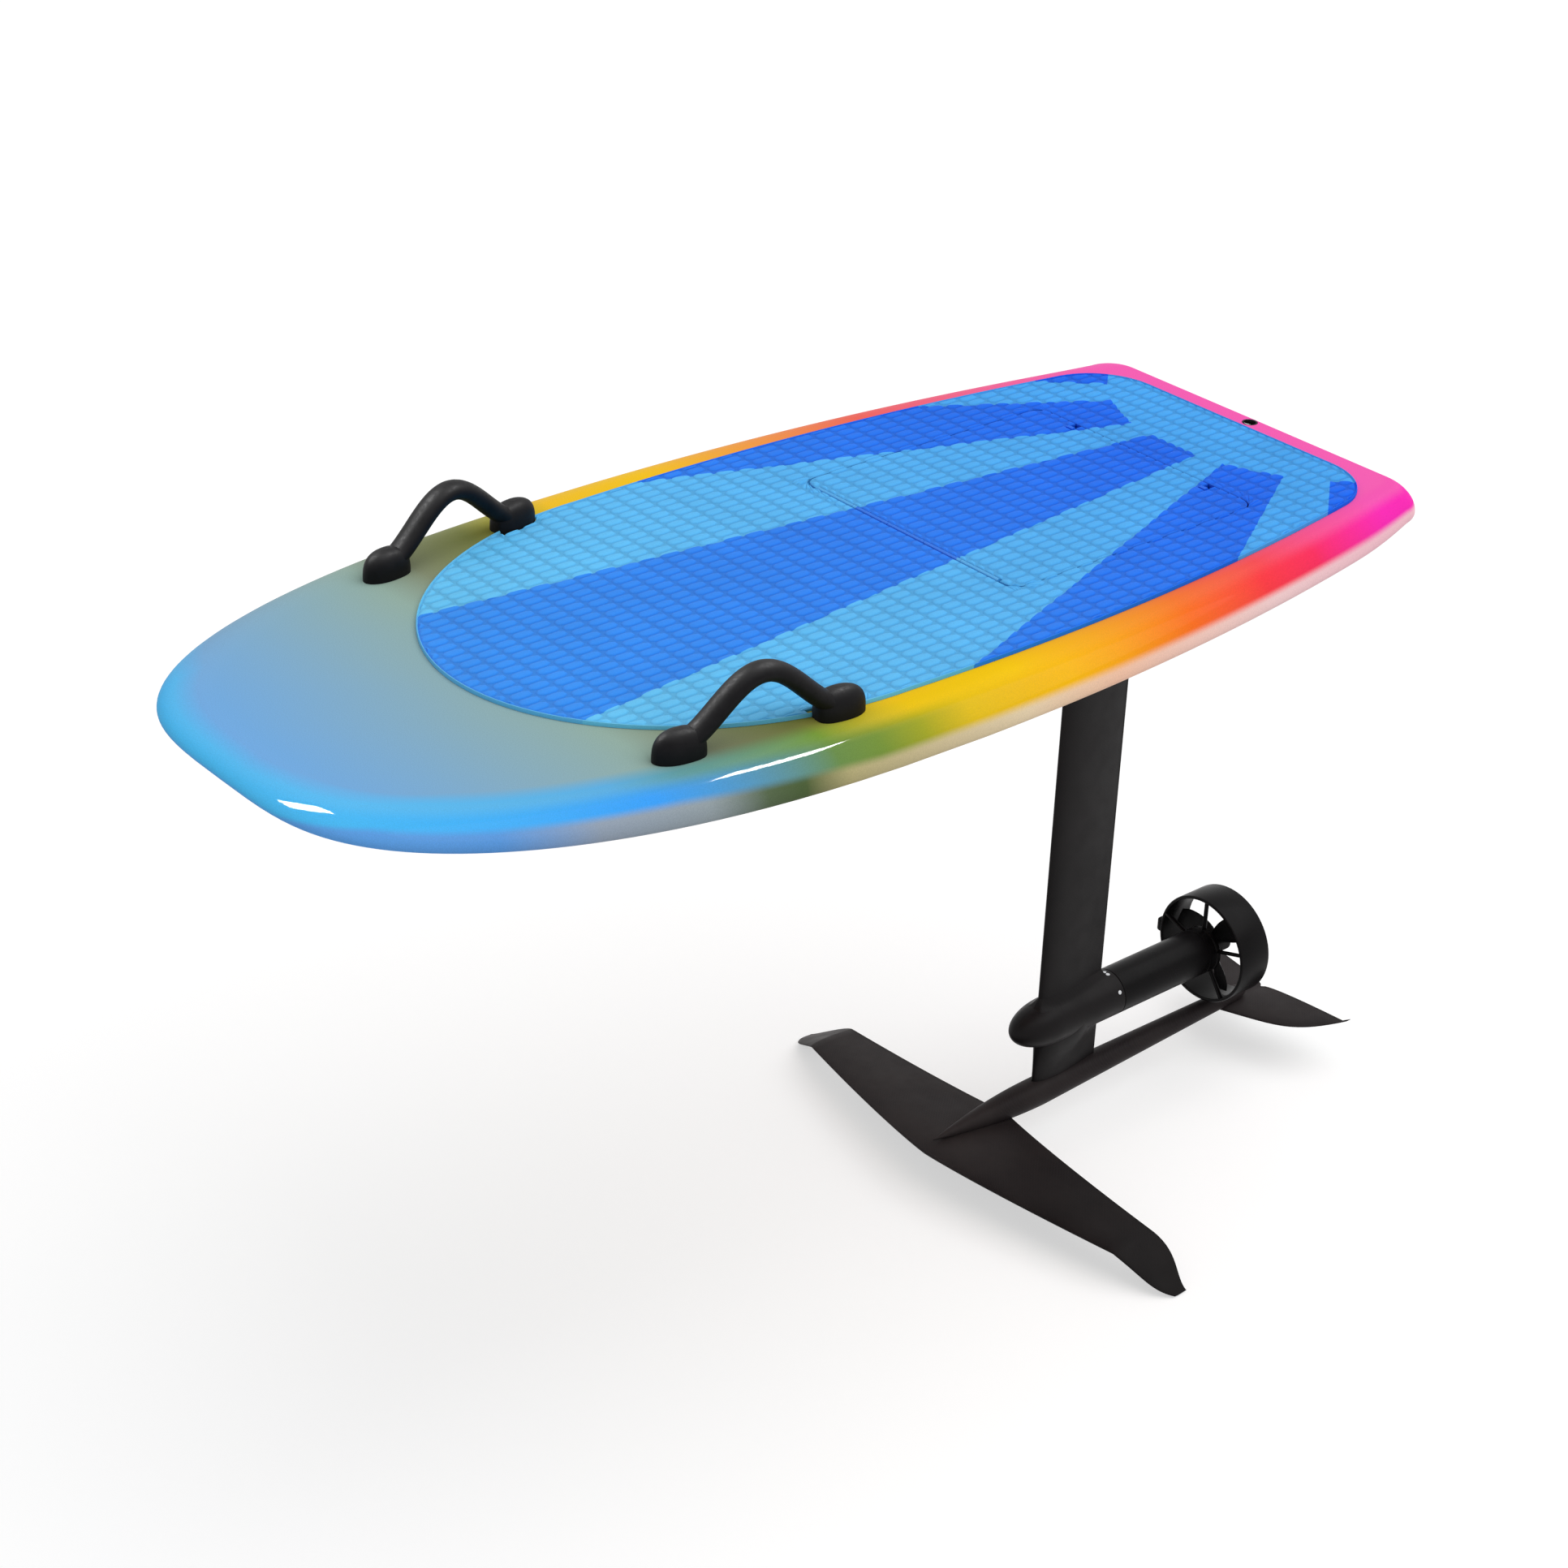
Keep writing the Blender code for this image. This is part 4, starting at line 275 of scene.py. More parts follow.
# Low on the rail, the dark stops at -0.35 and -0.30 are painted shade by the handles.
LOW_FADE_AND_HANDLE_SHADE = (
    (-0.80, "62A8F0"), (-0.64, "5F9FE6"), (-0.54, "98A6B8"), (-0.42, "98A4AA"), (-0.35, "5C6E50"),
    (-0.30, "50643A"), (-0.24, "BCB280"), (0.02, "F0DAB6"), (0.16, "FECDB0"), (0.45, "FED8D8"),
    (0.70, "FEC8D4"),
)
FADE_WAVER = 0.02

# Bands of paint, counted across the hull: 0 on the deck, 1 where the rail begins, 3 at its widest
FLAT_RINGS = ((0.110, 0.0), (0.084, 0.0), (0.070, 0.45), (0.060, 0.8), (0.052, 1.0))
RAIL_BANDS = (1.0, 3.0)
TUCK_BAND = 3.1
BOTTOM_BAND = 3.2
NEAR_SIDE = (0.02, 0.20)
FAR_SIDE = (-0.28, -0.20)
FAR_SHIFT = 0.9
EDGE_STARTS = (1.2, 0.3)
RAIL_STARTS = (1.8, 1.1)
RAIL_BLEND = 0.7
LOW_CHANGE = (-0.45, -0.20)
LOW_STARTS = (1.95, 2.32)
LOW_BLEND = 0.40
NOSE_CHANGE = (-0.72, -0.60)
NOSE_SIDE = (0.10, 0.20)
NOSE_SHIFT = 0.8
GLOSS_BANDS = (0.7, 1.3)
RAIL_GLOSS = 0.14

# Paint in the hatch's seam, darkened there as painted shade, and how far it reaches round the hatch
PAINTED_SEAM_Z = 0.1105
PAINTED_SIDE = 0.012
PAINTED_FRONT = 0.030
PAINTED_REAR = 0.020
PAINTED_SEAM_SHADE = 0.62

# The pad's blues, and the corners of its dark rays on one side, left about
DARK_BLUES = ("2890F7", "086BF5")
LIGHT_BLUES = ("63C7F9", "46AAF7")
BLUE_CHANGE = (-0.40, 0.60)
RIM_BLUE = "74D2F6"
RIM_CHANGE = (-0.25, 0.0)
RIM_PALENESS = 0.72
# Painted shade in the pad's grooves: the level at their floor, and the share of the crown below the top
# where it ends
PAINTED_GROOVE_SHADE = 0.79
GROOVE_SHADE_TOP_SHARE = 0.3
DARK_RAYS = (
    ((-0.01, -0.60), (0.176, -0.60), (0.041, 0.6355), (-0.01, 0.6355)),
    ((0.082, 0.6415), (0.345, -0.098), (0.400, 0.265), (0.156, 0.6765)),
    ((0.201, 0.715), (0.294, 0.605), (0.400, 0.70), (0.240, 0.757)),
)

# Weaves, windings, the spans of painted shade on the foil's near side, and the range that most of a noise
# lies in
GLASS_TURNS = 900.0
TWILL_TURNS = 1250.0
WIRES = 90.0
FOIL_PAINTED_SHADE_SPANS = ((0.02, 0.22), (0.27, 0.36))
ROUGHNESS_SPREAD = 0.12
NOISE_RANGE = (0.3, 0.7)
WIDE_NOISE_RANGE = (0.25, 0.75)

# Stage: thin lights for the streaks on the rail, with their ends and the place that each faces
RAIL_STREAKS = (
    (((-0.027, 0.415, 1.49), (0.126, 0.653, 1.49)), (0.348, -0.24, 0.117)),
    (((-0.910, -1.092, 1.276), (-0.790, -0.560, 1.360)), (0.108, -0.772, 0.116)),
)
STREAK_WIDTH = 0.16
STREAK_POWER = 110.0
SUN_POWER = 1.65
SUN_SPREAD = 70.0
SUN_DIRECTION = (-0.35, -0.30, -1.0)
SKY_LEVELS = (0.48, 1.0)
FLOOR_REACH = 40.0
FLOOR_GAP = 0.002
FLOOR_GREY = (0.54, 0.54, 0.54, 1.0)
FLOOR_GLOWS = (0.16, 0.54)
WHITE = (1.0, 1.0, 1.0, 1.0)

# Camera
CAMERA_AZIMUTH = 49.1111
CAMERA_ELEVATION = 29.0131
CAMERA_ROLL = 2.0855
CAMERA_TARGET = (0.0, 0.2555, DECK_Z)
CAMERA_OFFSET = (-0.2148, -0.3279, 4.01016)
CAMERA_LENS = 74.53
CAMERA_SENSOR = 36.0

# Facets
FINE_SIDES = 72
ROUND_SIDES = 40
WELL_SIDES = 20
FOIL_POINTS = 22
SMOOTH_ANGLE = 38.0
QUARTER = math.pi / 2


def shares(steps, first=0):
    """Even steps up to 1, from the first one asked for."""
    return [step / steps for step in range(first, steps + 1)]


def around(sides, shift=0.0):
    """Cosine and sine at even steps round a circle."""
    angles = [math.tau * (step + shift) / sides for step in range(sides)]
    return [(math.cos(angle), math.sin(angle)) for angle in angles]


def part_way(start, end, share):
    return start + (end - start) * share


def ellipse(middle, wide, high, sides):
    """Points round a middle, given the ways to its side and its top."""
    return [middle + wide * cosine + high * sine for cosine, sine in around(sides)]


def arc(x, y, radius, start, end, steps, first=0):
    """Points about a centre from one angle to another."""
    angles = [part_way(start, end, share) for share in shares(steps, first)]
    return [(x + radius * math.cos(angle), y + radius * math.sin(angle)) for angle in angles]


def edges(polygon):
    return list(zip(polygon, polygon[1:] + polygon[:1]))


def at_height(outline, z):
    return [(x, y, z) for x, y in outline]


def rectangle(left, right, front, rear):
    return [(left, front), (right, front), (right, rear), (left, rear)]


def linear(colour):
    """A written colour's red, green, blue and alpha as shaders take them."""
    parts = [int(colour[place:place + 2], 16) / 255 for place in (0, 2, 4)]
    straight = [((part + 0.055) / 1.055) ** 2.4 if part > 0.04045 else part / 12.92 for part in parts]
    return (*straight, 1.0)


class Shader:
    """The node tree of a material or a world, with short ways to add to it."""

    def __init__(self, owner, surface="Principled BSDF"):
        owner.use_nodes = True
        self.owner = owner
        self.tree = owner.node_tree
        self.surface = self.tree.nodes[surface]

    def feed(self, socket, value):
        """Set a socket, or link it when the value is another node's socket."""
        if isinstance(value, bpy.types.NodeSocket):
            self.tree.links.new(value, socket)
        else:
            socket.default_value = value

    def fill(self, node, **values):
        """Feed a node's sockets, named with underscores for spaces."""
        for name, value in values.items():
            self.feed(node.inputs[name.replace("_", " ")], value)
        return node.outputs

    def set(self, **values):
        self.fill(self.surface, **values)

    def node(self, kind, **settings):
        made = self.tree.nodes.new(kind)
        for name, value in settings.items():
            setattr(made, name, value)
        return made

    def place(self):
        return self.node("ShaderNodeTexCoord").outputs["Object"]

    def apart(self):
        """A place's three measures."""
        made = self.node("ShaderNodeSeparateXYZ")
        self.feed(made.inputs[0], self.place())
        return made.outputs

    def maths(self, operation, *values):
        made = self.node("ShaderNodeMath", operation=operation)
        for socket, value in zip(made.inputs, values):
            self.feed(socket, value)
        return made.outputs[0]

    def all_of(self, *levels):
        """Levels times each other."""
        total = levels[0]
        for level in levels[1:]:
            total = self.maths("MULTIPLY", total, level)
        return total

    def wave(self, value, turns):
        return self.maths("SINE", self.maths("MULTIPLY", value, turns))

    def between(self, value, low, high, to_low=0.0, to_high=1.0, soft=False):
        """A value carried from one range to another, held at the ends."""
        made = self.node("ShaderNodeMapRange")
        made.interpolation_type = "SMOOTHSTEP" if soft else "LINEAR"
        for socket, given in zip(made.inputs, (value, low, high, to_low, to_high)):
            self.feed(socket, given)
        return made.outputs[0]

    def seen(self):
        """1 for what the camera sees, straight or in a gloss, and 0 for light that falls on things."""
        path = self.node("ShaderNodeLightPath").outputs
        share = self.maths("MAXIMUM", path["Is Camera Ray"], path["Is Glossy Ray"])
        return self.maths("MAXIMUM", share, path["Is Transmission Ray"])

    def mix(self, share, first, second, blend="MIX"):
        made = self.node("ShaderNodeMix", data_type="RGBA", blend_type=blend)
        return self.fill(made, Factor=share, A=first, B=second)["Result"]

    def times(self, colour, *levels):
        for level in levels:
            colour = self.mix(1.0, colour, level, "MULTIPLY")
        return colour

    def tones(self, share, colours):
        return self.mix(share, *[linear(colour) for colour in colours])

    def noise(self, scale, detail, vector=None):
        made = self.node("ShaderNodeTexNoise")
        return self.fill(made, Vector=vector or self.place(), Scale=scale, Detail=detail)["Fac"]

    def mottle(self, scale, detail, low=0.0, high=1.0):
        """A level that wanders from one value to another."""
        return self.between(self.noise(scale, detail), *NOISE_RANGE, low, high)

    def bump(self, height, distance, strength):
        made = self.node("ShaderNodeBump")
        self.set(Normal=self.fill(made, Strength=strength, Distance=distance, Height=height)["Normal"])

    def finish(self, colour, roughness, grain, **settings):
        """The finished material. Its grain is a noise's scale and detail, and its depth and strength."""
        self.set(Base_Color=colour, Roughness=roughness, **settings)
        scale, detail, distance, strength = grain
        self.bump(self.noise(scale, detail), distance, strength)
        return self.owner

    def fade(self, value, stops):
        """A colour ramp along the board."""
        made = self.node("ShaderNodeValToRGB")
        ramp = made.color_ramp
        while len(ramp.elements) < len(stops):
            ramp.elements.new(0.5)
        for element, (place, colour) in zip(ramp.elements, stops):
            element.position = (place - NOSE_Y) / BOARD_LENGTH
            element.color = linear(colour)
        return self.fill(made, Fac=value)["Color"]


def new_shader(name):
    return Shader(bpy.data.materials.new(name))


def inside(shader, x, y, corners):
    """1 within a convex outline given left about, and 0 outside it."""
    sides = []
    for first, second in edges(corners):
        run, rise = second[0] - first[0], second[1] - first[1]
        level = rise * first[0] - run * first[1]
        up, along = shader.maths("MULTIPLY", y, run), shader.maths("MULTIPLY", x, rise)
        height = shader.maths("ADD", shader.maths("SUBTRACT", up, along), level)
        sides.append(shader.maths("GREATER_THAN", height, 0.0))
    return shader.all_of(*sides)


def ray_colour(shader):
    """The pad's fan of rays in two blues, each a little deeper towards the tail."""
    x, y, _ = shader.apart()
    side = shader.maths("ABSOLUTE", x)
    dark = 0.0
    for corners in DARK_RAYS:
        dark = shader.maths("MAXIMUM", dark, inside(shader, side, y, corners))
    aft = shader.between(y, *BLUE_CHANGE)
    return shader.mix(dark, shader.tones(aft, LIGHT_BLUES), shader.tones(aft, DARK_BLUES))


def shaded_rays(shader):
    """The pad's rays darkened as painted shade, for what shows in its seams."""
    return shader.times(ray_colour(shader), (PAINTED_SEAM_SHADE, PAINTED_SEAM_SHADE, PAINTED_SEAM_SHADE, 1.0))


def by_hatch(shader, x, y, z):
    """1 on the deck round the hatch, where the seam shows it, and 0 elsewhere."""
    return shader.all_of(
        shader.maths("GREATER_THAN", z, PAINTED_SEAM_Z),
        shader.maths("LESS_THAN", shader.maths("ABSOLUTE", x), HATCH_HALF_WIDTH + PAINTED_SIDE),
        shader.maths("GREATER_THAN", y, HATCH_FRONT_Y - PAINTED_FRONT),
        shader.maths("LESS_THAN", y, HATCH_REAR_Y + PAINTED_REAR),
    )


def hull_paint():
    """Gloss paint that fades along the board, and from the deck over the rail to the bottom."""
    shader = new_shader("hull_paint")
    x, y, z = shader.apart()
    band = shader.node("ShaderNodeAttribute", attribute_name="section").outputs["Fac"]
    waver = shader.between(shader.noise(scale=5.0, detail=1.0), 0.0, 1.0, -FADE_WAVER, FADE_WAVER)
    along = shader.between(shader.maths("ADD", y, waver), NOSE_Y, TAIL_Y)
    near = shader.between(x, *NEAR_SIDE)
    far = shader.between(x, *FAR_SIDE, FAR_SHIFT, 0.0)
    ahead = shader.between(y, *NOSE_CHANGE, 1.0, 0.0)
    nose = shader.all_of(ahead, shader.between(x, *NOSE_SIDE, NOSE_SHIFT, 0.0))
    bands = (
        (EDGE_FADE, shader.between(near, 0.0, 1.0, *EDGE_STARTS), far, RAIL_BLEND, False),
        (RAIL_FADE, shader.between(near, 0.0, 1.0, *RAIL_STARTS), far, RAIL_BLEND, True),
        (LOW_FADE_AND_HANDLE_SHADE, shader.between(y, *LOW_CHANGE, *LOW_STARTS), nose, LOW_BLEND, True),
    )
    # The deck's and the low band's fades hold painted shade by the handles.
    colour = shader.fade(along, DECK_FADE_AND_HANDLE_SHADE)
    for stops, begins, shift, blend, soft in bands:
        start = shader.maths("ADD", begins, shift)
        share = shader.between(band, start, shader.maths("ADD", start, blend), soft=soft)
        colour = shader.mix(share, colour, shader.fade(along, stops))
    # The deck round the hatch, seen in its seam, takes the pad's rays darkened as painted shade.
    colour = shader.mix(by_hatch(shader, x, y, z), colour, shaded_rays(shader))
    gloss = shader.between(band, *GLOSS_BANDS, 0.0, RAIL_GLOSS)
    shader.set(Specular_IOR_Level=0.0, Coat_Weight=gloss, Coat_Roughness=0.03)
    colour = shader.times(colour, shader.mottle(scale=900.0, detail=0.0, low=0.94, high=1.04))
    return shader.finish(colour, roughness=0.32, grain=(60.0, 1.0, 0.0002, 0.25))


def laminate():
    """Bare glass laminate inside the bay, with its weave showing."""
    shader = new_shader("bay_laminate")
    x, y, z = shader.apart()
    warp = shader.wave(shader.maths("ADD", x, z), GLASS_TURNS)
    weft = shader.wave(shader.maths("SUBTRACT", y, z), GLASS_TURNS)
    weave = shader.all_of(warp, weft)
    colour = shader.tones(shader.between(weave, -1.0, 1.0), ("8D9496", "A7AEAF"))
    # The seat's walls high in the seam take the pad's rays darkened as painted shade.
    topmost = shader.maths("GREATER_THAN", z, PAINTED_SEAM_Z)
    shader.set(Base_Color=shader.mix(topmost, colour, shaded_rays(shader)), Roughness=0.42)
    shader.bump(weave, distance=0.0003, strength=0.4)
    return shader.owner


def foam():
    """Closed-cell foam in two blues, with painted shade low in its grooves."""
    shader = new_shader("pad_foam")
    cloud = shader.mottle(scale=9.0, detail=3.0, low=0.95, high=1.05)
    cells = shader.noise(scale=1400.0, detail=1.0)
    cells = shader.between(cells, *WIDE_NOISE_RANGE, to_low=0.90, to_high=1.05)
    _, _, z = shader.apart()
    # Painted shade: the foam is darker low in the grooves between the bricks.
    groove_shade_top = PAD_TOP_Z - BRICK_CROWN * GROOVE_SHADE_TOP_SHARE
    groove = shader.between(z, SHEET_TOP_Z, groove_shade_top, PAINTED_GROOVE_SHADE, 1.0)
    colour = shader.times(ray_colour(shader), cloud, cells, groove)
    shader.set(Sheen_Weight=0.08, Sheen_Roughness=0.4, Specular_IOR_Level=0.12)
    return shader.finish(colour, roughness=0.82, grain=(1800.0, 2.0, 0.0003, 0.35))


def rim_foam():
    """The pad's cut edge, where the foam is paler."""
    shader = new_shader("pad_rim_foam")
    _, y, _ = shader.apart()
    pale = shader.between(y, *RIM_CHANGE, RIM_PALENESS, 0.0)
    colour = shader.mix(pale, ray_colour(shader), linear(RIM_BLUE))
    colour = shader.times(colour, shader.mottle(scale=1600.0, detail=2.0, low=0.88, high=1.05))
    shader.set(Specular_IOR_Level=0.15)
    return shader.finish(colour, roughness=0.75, grain=(1800.0, 2.0, 0.0003, 0.3))


def coated():
    """Metal under a blue powder coat that carries on the pad's rays."""
    shader = new_shader("blue_coat")
    speckle = shader.mottle(scale=1100.0, detail=2.0, low=0.82, high=0.94)
    colour = shader.times(ray_colour(shader), speckle)
    shader.set(Specular_IOR_Level=0.15)
    return shader.finish(colour, roughness=0.55, grain=(1500.0, 1.0, 0.0001, 0.25))


def composite(name, tones, shine, roughness, painted_shade_level=1.0):
    """Black carbon laminate in three close tones, with a faint twill; it may darken towards +X as painted
    shade.
    """
    shader = new_shader(name)
    x, y, z = shader.apart()
    aside = shader.maths("ADD", x, z)
    one = shader.maths("MULTIPLY", shader.maths("ADD", y, aside), TWILL_TURNS)
    other = shader.wave(shader.maths("SUBTRACT", y, aside), TWILL_TURNS / 2)
    twill = shader.maths("SINE", shader.maths("ADD", one, other))
    woven = shader.tones(shader.between(twill, -1.0, 1.0), tones[:2])
    colour = shader.mix(shader.mottle(scale=14.0, detail=3.0), woven, linear(tones[2]))
    # Painted shade: the colour is darkened over two spans of X towards the near side, +X.
    levels = [shader.between(x, *ends, 1.0, painted_shade_level) for ends in FOIL_PAINTED_SHADE_SPANS]
    shader.set(Base_Color=shader.times(colour, *levels), Specular_IOR_Level=shine)
    rougher = roughness + ROUGHNESS_SPREAD
    shader.set(Roughness=shader.mottle(scale=35.0, detail=4.0, low=roughness, high=rougher))
    shader.bump(twill, distance=0.00004, strength=0.15)
    return shader.owner


def plain(name, tones, cloud, roughness, grain, **settings):
    """A plain finish in two close tones, with an uneven roughness and a fine grain."""
    shader = new_shader(name)
    colour = shader.tones(shader.mottle(*cloud), tones)
    return shader.finish(colour, shader.mottle(*roughness), grain, **settings)


def steel():
    """Stainless steel, brushed along its length."""
    shader = new_shader("stainless_steel")
    stretch = shader.fill(shader.node("ShaderNodeMapping"), Vector=shader.place(), Scale=(40.0, 3.0, 40.0))
    lines = shader.noise(scale=60.0, detail=4.0, vector=stretch["Vector"])
    share = shader.between(lines, *NOISE_RANGE)
    shader.set(Base_Color=shader.tones(share, ("B9BBBE", "D8D9DB")), Metallic=1.0)
    shader.set(Roughness=shader.between(lines, *NOISE_RANGE, to_low=0.20, to_high=0.38))
    shader.bump(lines, distance=0.00005, strength=0.2)
    return shader.owner


def copper():
    """Copper winding: turns of wire along the stator."""
    shader = new_shader("copper_winding")
    x, _, z = shader.apart()
    wires = shader.wave(shader.maths("ARCTAN2", shader.maths("SUBTRACT", z, POD_Z), x), WIRES)
    share = shader.between(wires, -1.0, 1.0)
    shader.set(Base_Color=shader.tones(share, ("7A3A1C", "C8743C")), Metallic=0.8, Roughness=0.38)
    shader.bump(wires, distance=0.0004, strength=0.6)
    return shader.owner


def shown(name, data):
    """A mesh, light or camera as an object in the scene."""
    made = bpy.data.objects.new(name, data)
    bpy.context.scene.collection.objects.link(made)
    return made


def smooth(mesh):
    mesh.shade_smooth()
    mesh.set_sharp_from_angle(angle=math.radians(SMOOTH_ANGLE))


def made_object(name, rings, faces, look):
    """A mesh object from rings of points, with its faces turned outwards."""
    mesh = bpy.data.meshes.new(name)
    mesh.from_pydata([tuple(point) for ring in rings for point in ring], [], faces)
    shape = bmesh.new()
    shape.from_mesh(mesh)
    bmesh.ops.recalc_face_normals(shape, faces=shape.faces)
    shape.to_mesh(mesh)
    shape.free()
    smooth(mesh)
    mesh.materials.append(look)
    return shown(name, mesh)


def stands_for(piece, body, slot, *names):
    """Hang a piece on its body in the place of its solids."""
    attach(piece, body)
    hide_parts(*names)
    return piece


def strips(rings, count, closed=True):
    """Faces between rings, or open rows, of as many points."""
    faces = []
    for row in range(rings - 1):
        here, there = row * count, (row + 1) * count
        for step in range(count if closed else count - 1):
            ahead = (step + 1) % count
            faces.append((here + step, here + ahead, there + ahead, there + step))
    return faces


def loft(name, rings, look):
    """A solid through rings of points, its ends closed."""
    count = len(rings[0])
    last = (len(rings) - 1) * count
    ends = [tuple(range(count)), tuple(range(last, last + count))]
    return made_object(name, rings, strips(len(rings), count) + ends, look)


def turned(name, profile, sides, look, z=POD_Z, hollow=False):
    """A profile of radius and place turned about a line along the board at a height."""
    points, rows = [], []
    for radius, along in profile:
        circle = around(sides, 0.5) if radius else [(0.0, 0.0)]
        rows.append(range(len(points), len(points) + len(circle)))
        points += [(radius * cosine, along, z + radius * sine) for cosine, sine in circle]
    faces = []
    for first, second in edges(rows) if hollow else zip(rows, rows[1:]):
        for step in range(sides):
            ahead = step + 1
            corners = ((first, step), (first, ahead), (second, ahead), (second, step))
            faces.append(tuple(dict.fromkeys(row[place % len(row)] for row, place in corners)))
    return made_object(name, [points], faces, look)


def prism(name, outline, low, high, look):
    return loft(name, [at_height(outline, low), at_height(outline, high)], look)


def block(name, low, high, look):
    return prism(name, rectangle(low[0], high[0], low[1], high[1]), low[2], high[2], look)


def drum(name, radius, low, high, look, sides=ROUND_SIDES):
    """An upright cylinder about Z."""
    outline = [(radius * cosine, radius * sine) for cosine, sine in around(sides, 0.5)]
    return prism(name, outline, low, high, look)


def applied(thing):
    """Make an object's modifiers part of its mesh."""
    bpy.context.view_layer.update()
    graph = bpy.context.evaluated_depsgraph_get()
    changed = bpy.data.meshes.new_from_object(thing.evaluated_get(graph))
    thing.modifiers.clear()
    thing.data = changed


def cut(target, tool):
    """Cut a tool out of a target, and remove the tool."""
    change = target.modifiers.new("cut", "BOOLEAN")
    change.operation = "DIFFERENCE"
    change.object = tool
    change.material_mode = "TRANSFER"
    applied(target)
    smooth(target.data)
    bpy.data.objects.remove(tool, do_unlink=True)


def moved(thing, place, turn=(0.0, 0.0, 0.0)):
    thing.location = place
    thing.rotation_euler = turn
    return thing


def rounded_rectangle(half, front, rear, corner, steps=10):
    """A rectangle in plan, about X = 0, with round corners."""
    side, low, high = half - corner, front + corner, rear - corner
    outline = []
    for turns, (x, y) in enumerate(((side, high), (-side, high), (-side, low), (side, low))):
        outline += arc(x, y, corner, QUARTER * turns, QUARTER * (turns + 1), steps)
    return outline


def half_width(y):
    """Half-width of the board's outline, short of its tail corners."""
    if y < WIDEST_Y:
        pull = NOSE_PULL_IN * ((WIDEST_Y - y) / (WIDEST_Y - NOSE_Y)) ** 2
    else:
        pull = TAIL_PULL_IN * ((y - WIDEST_Y) / (TAIL_Y - WIDEST_Y)) ** 2
    width = BOARD_WIDTH / 2 - pull
    short = 1.0 - (y - NOSE_Y) / NOSE_ROUND_LENGTH
    if short > 0.0:
        width *= (1.0 - short ** NOSE_SQUARENESS) ** (1.0 / NOSE_SQUARENESS)
    return width


def thickness_share(y):
    """Share of the full thickness below the deck at a station."""
    nose = max(0.0, (NOSE_Y + NOSE_RISE_LENGTH - y) / NOSE_RISE_LENGTH)
    tail = max(0.0, (y - TAIL_Y + TAIL_RISE_LENGTH) / TAIL_RISE_LENGTH)
    nose_loss = (1.0 - NOSE_THICKNESS / BOARD_THICKNESS) * nose ** 2
    return 1.0 - nose_loss - TAIL_RISE / BOARD_THICKNESS * tail ** 2


def board_outline():
    """One half of the outline from nose to tail."""
    nose_steps, side_steps, corner_steps = 40, 34, 12
    outline = []
    for share in shares(nose_steps, 1):
        short = math.cos(QUARTER * share) ** (2.0 / NOSE_SQUARENESS) if share < 1.0 else 0.0
        y = NOSE_Y + NOSE_ROUND_LENGTH * (1.0 - short)
        outline.append((half_width(y), y))
    first, last = outline[-1][1], TAIL_Y - TAIL_BULGE - TAIL_CORNER
    for share in shares(side_steps, 1):
        y = part_way(first, last, share)
        outline.append((half_width(y), y))
    return outline + arc(half_width(last) - TAIL_CORNER, last, TAIL_CORNER, 0.0, QUARTER, corner_steps, 1)


def board_ring(inset, depth, outline):
    """One ring of the hull, this far in from the outline and this far below the deck."""
    narrow = 1.0 - 2 * inset / BOARD_WIDTH
    shrink = (BOARD_LENGTH - inset - TAIL_EDGE_SHARE * inset) / BOARD_LENGTH

    def point(x, y):
        along = NOSE_Y + inset + (y - NOSE_Y) * shrink
        return (x, along, DECK_Z - depth * thickness_share(along))

    right = [point(x * narrow, y) for x, y in outline]
    left = [point(-x * narrow, y) for x, y in reversed(outline)]
    return [point(0.0, NOSE_Y)] + right + [point(0.0, TAIL_Y)] + left


def rail_section():
    """Insets, depths and paint bands of the hull's rings, from the deck to the bottom."""
    upper_steps, tuck_steps, bevel_steps = 14, 8, 5
    rings = [(inset, 0.0, band) for inset, band in FLAT_RINGS]
    for share in shares(upper_steps):
        angle = QUARTER * (1.0 - share)
        inset = RAIL_ROUND_WIDTH * (1.0 - math.cos(angle))
        depth = RAIL_APEX_DEPTH * (1.0 - math.sin(angle))
        rings.append((inset, depth, part_way(*RAIL_BANDS, share)))
    for share in shares(tuck_steps, 1):
        angle = math.radians(RAIL_TUCK_END) * share
        inset = RAIL_TUCK_WIDTH * (1.0 - math.cos(angle))
        rings.append((inset, RAIL_APEX_DEPTH + RAIL_TUCK_DEPTH * math.sin(angle), TUCK_BAND))
    inset, depth, _ = rings[-1]
    for share in shares(bevel_steps, 1):
        across = part_way(inset, BOTTOM_BEVEL_WIDTH, share)
        rings.append((across, part_way(depth, BOARD_THICKNESS, share), BOTTOM_BAND))
    return rings


